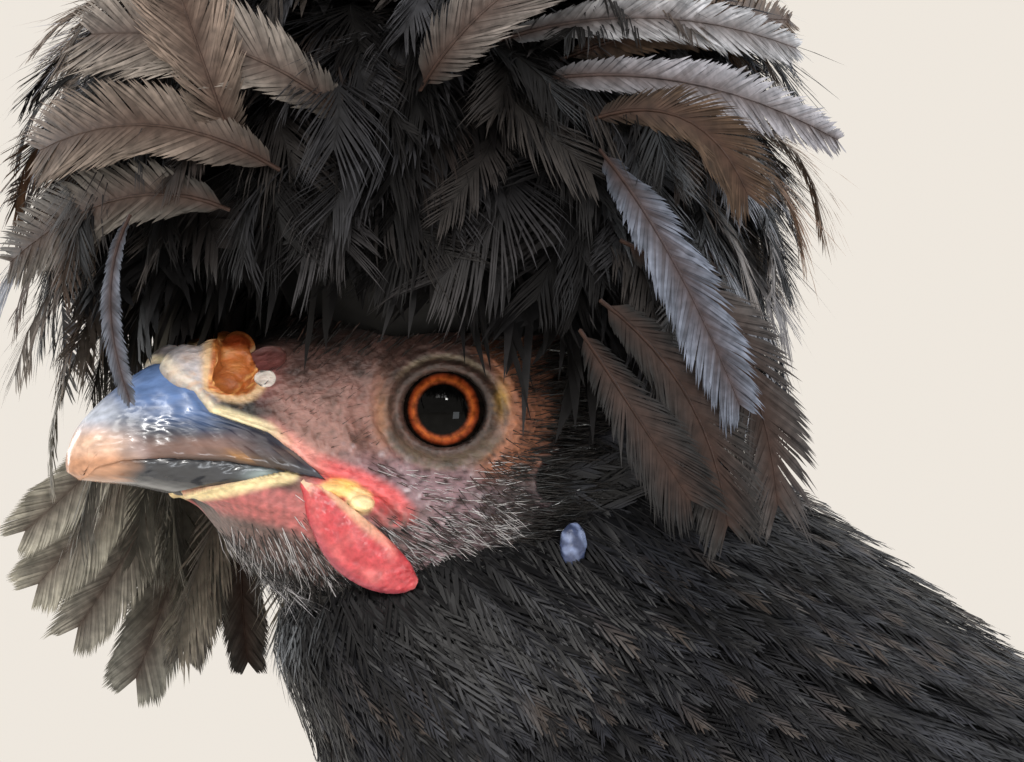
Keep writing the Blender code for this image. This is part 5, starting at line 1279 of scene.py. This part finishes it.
# The tail: two fans of stiff feathers that lean together like a roof, from the fleshy rump, with softer
# coverts over and under their roots.
TAIL_ROOT = np.array([0.0, 112.0, 236.0])
TAIL_ROWS = (
    # number on each side, length, shortening, rise, spread, lowering, half width, height over, barbs
    (7, 121.0, 3.2, 42.0, 5.6, 3.0, 11.5, 0.0, 56),
    (6, 88.0, 3.0, 44.0, 7.0, 3.6, 9.5, 2.6, 40),
    (6, 68.0, 3.0, 45.0, 7.5, 4.2, 9.0, 4.4, 32),
    (5, 48.0, 2.0, 44.0, 9.0, 5.0, 8.5, 6.0, 26),
    (6, 62.0, 2.0, 26.0, 8.0, 4.0, 9.0, -7.0, 26),
    (6, 42.0, 1.5, 8.0, 9.5, 4.0, 8.5, -9.5, 22),
)
parts, roots = [], []
for row, (count, length, shorten, rise, spread, lower, half, over, barbs) in enumerate(TAIL_ROWS):
    random = np.random.default_rng(300 + row)
    i = np.repeat(np.arange(count), 2).astype(float)
    side = np.tile([1.0, -1.0], count)[:, None, None]
    turn = np.radians(2.5 + spread * i + random.normal(0, 0.8, 2 * count))
    slope = np.radians(rise - lower * i + random.normal(0, 0.8, 2 * count))
    long = length - shorten * i
    t = np.linspace(0, 1, 8)
    ahead = np.stack([np.sin(turn) * np.cos(slope), np.cos(turn) * np.cos(slope), np.sin(slope)], -1)
    roll = np.radians(24 + 6.5 * i)
    up = np.stack([np.sin(roll), -0.3 * np.cos(roll), np.cos(roll)], -1)
    root = TAIL_ROOT + np.stack([1.6 + 1.5 * i, 0 * i, over + 3.0 - 2.1 * i], -1)
    lines = root[:, None] + (long[:, None] * t)[..., None] * ahead[:, None]
    lines = lines - (t**2 * 0.06 * long[:, None])[..., None] * up[:, None]
    flip = np.concatenate([side, np.ones_like(side), np.ones_like(side)], -1)
    outs = np.broadcast_to(up[:, None], lines.shape) * flip
    lines = lines * flip + SHIFT
    parts.append(feathers(lines, outs, np.full(2 * count, half), barbs, 310 + row, wide=1.5,
                          forward=(46, 30), cup=0.12,
                          shaft=0.42, ragged=0.06, shape=([0, 0.1, 0.4, 0.75, 0.93, 1.0],
                                                          [0.35, 0.7, 0.95, 1.0, 0.72, 0.3])))
    roots.append(on_sheet("tail", np.stack([0.5 + side[:, 0, 0] * (i + 1) / 16, (row + 0.5) / 7 + 0 * i],
                                           -1)))
whole = all_feathers(parts)
tail = coat("tail_feathers", whole, np.concatenate(roots), WING_PLUMAGE, black_tones_and_sheen(whole, 320, 0.3))
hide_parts("tail")
lat, turn = np.meshgrid(np.linspace(0.05, np.pi - 0.05, 24), np.arange(36) * 2 * np.pi / 36, indexing="ij")
rump = np.stack([np.sin(lat) * np.cos(turn), np.sin(lat) * np.sin(turn), np.cos(lat)], -1) * [15.5, 14.5,
                                                                                              11.5]
rump_points, rump_faces, rump_share = tube(rump + TAIL_ROOT + SHIFT)
tail_knob = piece("tail_knob", rump_points, rump_faces, WING_PLUMAGE, on_sheet("tail", rump_share),
                  np.broadcast_to(BLACK_SKIN, rump_points.shape))

# The legs: slate skin with overlapping scutes down the front of the shank and along the top of each toe, and
# small round scales behind. Padded toes rest flat on the floor.
HOCK, ANKLE = np.array([37.0, 31.0, 92.5]), np.array([38.0, 6.0, 15.0])
# Each toe's turn in degrees from straight ahead towards the outside, its length, and its claw's length.
TOES = (("inner", -32.0, 36.0, 10.5), ("middle", 4.0, 52.0, 11.5), ("outer", 38.0, 38.0, 10.5),
        ("hind", 158.0, 17.0, 9.5))


def pipe(middles, along, across_r, up_r, columns):
    """Rings about a line of middles: one radius level and square to the line, the other square to both."""
    along = unit(along)
    level = unit(np.cross(along, [0, 0, 1.0]))
    upright = np.cross(level, along)
    turn = np.arange(columns) * 2 * np.pi / columns
    return (middles[:, None] + across_r[..., None] * np.cos(turn)[None, :, None] * level[:, None]
            + up_r[..., None] * np.sin(turn)[None, :, None] * upright[:, None]), turn


def toe_middle(turn, length, hind, share):
    """The middle line of a toe: straight ahead by its turn, coming down from the foot to its pad."""
    heights = np.interp(share, *(([0, 0.6, 1], [9.5, 4.2, 3.4]) if hind else ([0, 0.3, 1],
                                                                              [7.2, 4.4, 3.3])))
    ahead = np.array([math.sin(math.radians(turn)), -math.cos(math.radians(turn)), 0.0])
    line = np.array([ANKLE[0], ANKLE[1] - 3, 0]) + (share * length + 1)[:, None] * ahead
    line[:, 2] = heights
    return line, ahead


leg_finish, _ = grained_and_shaded("leg_scales", 900, 0.5, 0.14)
claw_finish, _ = grained_and_shaded("claw_horn", 700, 0.36, 0.05, (1, 1, 1))
SLATE, SLATE_EDGE, SOLE = lighter(88, 96, 108), lighter(42, 46, 54), lighter(150, 140, 128)
for side, word in ((1, "left"), (-1, "right")):
    shank_way = unit(ANKLE - HOCK)
    s = np.linspace(-0.03, 1.12, 150)
    radius = np.interp(s, [-0.03, 0.10, 0.24, 0.6, 0.88, 1.0, 1.12], [8.1, 8.4, 6.0, 5.4, 6.0, 6.7, 5.0])
    line = HOCK + shank_way * (np.linalg.norm(ANKLE - HOCK) * s)[:, None]
    rings, turn = pipe(line, np.broadcast_to(shank_way, line.shape), radius[:, None] * 0.94,
                       radius[:, None] * 1.08, 44)
    front = ramp(0.1, 0.6, -unit(rings - line[:, None])[..., 1])
    step = (s * 15) % 1
    scute = front * (0.45 * step[:, None] - 0.1) * ramp(0.05, 0.12, s)[:, None]
    pebble = 0.16 * np.maximum(np.sin(turn * 9) * np.sin(s[:, None] * 95), 0) * (1 - front)
    rings = rings + unit(rings - line[:, None]) * (scute + pebble)[..., None]
    shade = mix(np.broadcast_to(SLATE, rings.shape), SLATE_EDGE,
                np.maximum(front * ramp(0.22, 0.0, step)[:, None],
                                                                           (1 - front) * (pebble < 0.03)
                                                                           * 0.6))
    leg_parts, leg_tints = [tube(rings)], [with_ends(shade)]
    lat, turn = np.meshgrid(np.linspace(0.05, np.pi - 0.05, 30), np.arange(40) * 2 * np.pi / 40,
                            indexing="ij")
    pad = np.stack([np.sin(lat) * np.cos(turn), np.sin(lat) * np.sin(turn), np.cos(lat)], -1) * [8.2, 8.6,
                                                                                                 5.7]
    leg_parts.append(tube(pad + [ANKLE[0], ANKLE[1] - 3, 5.2]))
    leg_tints.append(np.broadcast_to(SLATE_EDGE * 1.3, leg_parts[-1][0].shape))
    for toe, turned, length, _ in TOES:
        hind = toe == "hind"
        t = np.linspace(0, 1.0, 40 if hind else 96)
        line, ahead = toe_middle(turned, length, hind, t)
        swelling = 1 + 0.08 * np.cos(t * 2 * np.pi * (1.0 if hind else 2.5))
        radius = np.interp(t, [0, 0.25, 0.96, 1], [5.0, 4.6, 3.4, 2.9]) * swelling
        way = np.gradient(line, axis=0)
        rings, turn = pipe(line, way, radius[:, None] * 0.95, radius[:, None], 32)
        top = ramp(0.1, 0.6, unit(rings - line[:, None])[..., 2])
        step = (t * (6 if hind else 15)) % 1
        rings = rings + unit(rings - line[:, None]) * (top * (0.32 * step[:, None] - 0.08))[..., None]
        under = ramp(-0.2, -0.7, unit(rings - line[:, None])[..., 2])
        rings = rings + unit(rings - line[:, None]) * (0.12 * under * np.sin(turn * 8)
                                                       * np.sin(t * 60)[:, None])[..., None]
        shade = mix(np.broadcast_to(SLATE, rings.shape), SLATE_EDGE, top * ramp(0.22, 0.0, step)[:, None])
        shade = mix(shade, SOLE, under * 0.7)
        leg_parts.append(tube(rings))
        leg_tints.append(with_ends(shade))
    leg_points, leg_faces, leg_share = joined(leg_parts)
    leg_points = np.maximum(leg_points, [-1e9, -1e9, 0.0]) * [side, 1, 1] + SHIFT
    leg_faces = leg_faces if side > 0 else leg_faces[:, ::-1]
    leg_share = leg_share if side > 0 else leg_share[:, ::-1]
    leg = piece(f"leg_{word}", leg_points, leg_faces, leg_finish, on_sheet("legs", leg_share),
                np.concatenate(leg_tints))
    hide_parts(f"shank_{word}", f"foot_{word}")
    for toe, turned, length, claw_long in TOES:
        line, ahead = toe_middle(turned, length, toe == "hind", np.array([0.0, 1.0]))
        t = np.linspace(0, 1, 36)
        middle = line[-1] + np.outer(0.3 + claw_long * t, ahead)
        middle[:, 2] += 0.9 * np.sin(t * np.pi) - 2.3 * t**2
        thick = np.interp(t, [0, 0.08, 0.25, 0.5, 0.75, 0.94, 1], [2.1, 2.4, 2.3, 1.75, 1.05, 0.4, 0.12])
        rings, turn = pipe(middle, np.gradient(middle, axis=0), thick[:, None] * 0.8, thick[:, None], 24)
        rings[..., 2] = np.maximum(rings[..., 2], 0.12)
        shade = mix(np.broadcast_to(lighter(96, 92, 90), rings.shape), lighter(170, 160, 148),
                    ramp(0.5, 1.0, t)[:, None])
        talon, talon_faces, talon_share = tube(rings * [side, 1, 1] + SHIFT)
        made = piece(f"talon_{toe}_{word}", talon, talon_faces, claw_finish, on_sheet("legs", talon_share),
                     with_ends(shade))
        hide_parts(f"claw_{toe}_{word}")

# The head's own small feathers. Black ones cover nape, throat and the back of the cheek. The bare face has
# only bristles: pale and dark hairs that sweep back from the bill, round the eye and under the cheek.
y, z = start[..., 1], start[..., 2]
row_gap = np.linalg.norm(np.gradient(start, axis=0), axis=-1)
column_gap = np.linalg.norm(np.gradient(start, axis=1), axis=-1)
patch_size = row_gap * column_gap * (start[..., 0] > 0.2)
_, back_way, _ = lie(head_point, head_at, head_turn)
back_way = back_way * mirror
down_way = -unit(np.cross(skin_out, back_way))
from_eye = unit(start - (EYE_CENTRE + 3 * LOOK))


def spots(count, mask, seed):
    """Places on the head's grid, drawn by area and by a mask, and a random side for each."""
    random = np.random.default_rng(seed)
    odds = (patch_size * np.clip(mask, 0, 1)).ravel()
    picked = random.choice(odds.size, count, p=odds / odds.sum())
    return np.unravel_index(picked, start.shape[:2]), random.choice([1.0, -1.0], count), random


def bristles(name, count, mask, seed, way, long, thick, stand, colour, tip_colour, pale_share, bow=0.35):
    """Bristles as thin three-sided blades: root, a middle that stands out from the skin, and a tip that bows
    back along the way it grows."""
    (i, j), side, random = spots(count, mask, seed)
    flip = np.stack([side, np.ones(count), np.ones(count)], -1)
    root, out, lies = skin_at[i, j] - 0.15 * skin_out[i, j], skin_out[i, j], unit(way[i, j])
    lies = unit(lies + random.normal(0, 0.16, (count, 3)))
    length = random.uniform(*long, count)[:, None]
    rise = stand * random.uniform(0.5, 1.5, count)[:, None]
    middle = root + length * 0.55 * unit(lies + rise * out)
    tip = middle + length * 0.45 * unit(lies + rise * (1 - 2 * bow) * out + 0.12
                                        * random.normal(size=(count, 3)))
    wide = unit(np.cross(lies, out))
    corners = np.stack([wide, -0.5 * wide + 0.8 * out, -0.5 * wide - 0.8 * out], axis=1)
    girth = thick * random.uniform(0.7, 1.3, count)[:, None, None]
    ring = np.concatenate([root[:, None] + corners * girth, middle[:, None] + corners * girth * 0.65,
                           tip[:, None]], 1)
    faces = np.array([[0, 1, 3], [1, 4, 3], [1, 2, 4], [2, 5, 4], [2, 0, 5], [0, 3, 5], [3, 4, 6],
                      [4, 5, 6], [5, 3, 6]])
    whole = (faces + np.arange(count)[:, None, None] * 7).reshape(-1, 3)
    base = np.where((random.random(count) < pale_share)[:, None], tip_colour, colour)
    shades = np.stack([base * 0.8, base * 0.8, base * 0.8, base, base, base,
                       0.6 * base + 0.4 * np.asarray(tip_colour)], 1)
    points = ((ring * flip[:, None]) + EYE_MID).reshape(-1, 3)
    whole = np.where(np.repeat(side > 0, 9)[:, None], whole, whole[:, ::-1])
    turn = np.where(side > 0, head_turn[i, j], 2 * np.pi - head_turn[i, j])
    roots = on_sheet("head", np.stack([i / (start.shape[0] - 1), turn / (2 * np.pi)], -1))
    owner = np.repeat(np.arange(count), 7)
    along = np.tile([0, 0, 0, 0.55, 0.55, 0.55, 1.0], count)
    return coat(name, (points, whole, owner, along, along * 0), roots, FACE_HAIR, shades.reshape(-1, 3))


FACE_HAIR = plumage("face_hair", 0.4, 0.0)
FACE_HAIR.node_tree.nodes["Principled BSDF"].inputs["Specular IOR Level"].default_value = 0.5
DARK, PALE, BROWN = lighter(26, 22, 21), lighter(206, 204, 206), lighter(66, 46, 38)
bare_face = face * ramp(0.2, 0.8, behind_horn) * ramp(6.6, 7.6, round_eye) * (1 - near_nostril)
below_eye = ramp(-4.5, -7, z)
sweep = 0.80 * back_way + (0.45 * ramp(4, -8, y) - 0.35 * ramp(2, 12, y))[..., None] * down_way
bristles("cheek_hair", 2800, bare_face * below_eye * ramp(2.2, 3.4, gape_far), 401, sweep, (1.6, 3.0),
         0.055, 0.18,
         BROWN, PALE, 0.42)
bristles("lore_hair", 420, bare_face * ramp(-5, -3.5, z) * ramp(-2, -6, y), 402,
         0.9 * back_way - 0.3 * down_way, (0.9, 1.7), 0.045, 0.2, DARK, BROWN, 0.2)
bristles("eye_hair", 700, bare_face * ramp(14, 10.5, round_eye) * ramp(0, 4, rearward), 403,
         0.5 * back_way + 0.9 * from_eye, (1.6, 3.4), 0.055, 0.22, DARK, BROWN, 0.2)
bristles("brow_hair", 1500, ramp(-16, -12, y) * ramp(14, 9, y) * ramp(4.8, 6.2, z) * ramp(14.5, 12, z)
         * ramp(5.8, 6.6, round_eye),
         404, back_way - 0.3 * down_way, (1.8, 3.4), 0.07, 0.3, DARK, BROWN, 0.15)
under = ramp(-25.5, -21, y) * ramp(10, 4, y) * ramp(-9.5, -12, z - 0.1 * y) * ramp(1.0, 2.2, lower_far)
bristles("throat_hair", 3800, under, 405, 0.85 * back_way + 0.55 * down_way, (2.4, 5.0), 0.06, 0.16,
         DARK, lighter(198, 196, 198), 0.42)
collar = ramp(-14.5, -18, z) * ramp(-19, -14, y) * ramp(12, 6, y)
bristles("collar_hair", 1600, collar, 411, 0.5 * back_way + 0.9 * down_way, (5.0, 10.0), 0.085, 0.14,
         DARK, lighter(186, 184, 188), 0.25)
rear = ramp(0, 3.5, y - 9 + 3.0 * ramp(-3, -7, z)) * ramp(19, 15, y) * ramp(8, 4, z) * ramp(-21, -17, z)
bristles("ear_hair", 3000, rear, 406, back_way - 0.22 * down_way + 0.15 * from_eye, (3.5, 6.5), 0.075, 0.42,
         DARK, lighter(60, 62, 64), 0.12, bow=0.8)
bristles("ear_glints", 170, rear * ramp(7.5, 9, y), 407, back_way - 0.25 * down_way, (4.0, 6.5), 0.075,
         0.55,
         DARK, lighter(210, 214, 218), 0.35, bow=0.8)
count = 1150
feathered = (1 - face) * np.maximum(ramp(8.5, 11.5, y - 0.2 * z), ramp(-15.5, -18, z) * ramp(-22, -17, y))
(i, j), side, random = spots(count, feathered, 408)
turn = np.where(side > 0, head_turn[i, j], 2 * np.pi - head_turn[i, j])
turn = np.where(start[i, j, 0] * side > 0, turn, 2 * np.pi - turn)
drift = side * random.normal(0.04, 0.08, count)
lines, outs = lie_along(head_point, head_at[i, j] + random.normal(0, 0.03, count), turn,
                        random.uniform(7, 11, count),
                        np.full(count, 0.2), 4, drift, random.uniform(0.8, 2.6, count))
made = feathers(lines + EYE_MID, outs, random.uniform(1.3, 2.1, count), 10, 409, wide=0.9, forward=(30, 14),
                shaft=0.1,
                ragged=0.2, cup=0.1)
roots = on_sheet("head", np.stack([i / (start.shape[0] - 1), turn / (2 * np.pi)], -1))
coat("head_coat", made, roots, BODY_PLUMAGE, black_tones_and_sheen(made, 410, 0.7))
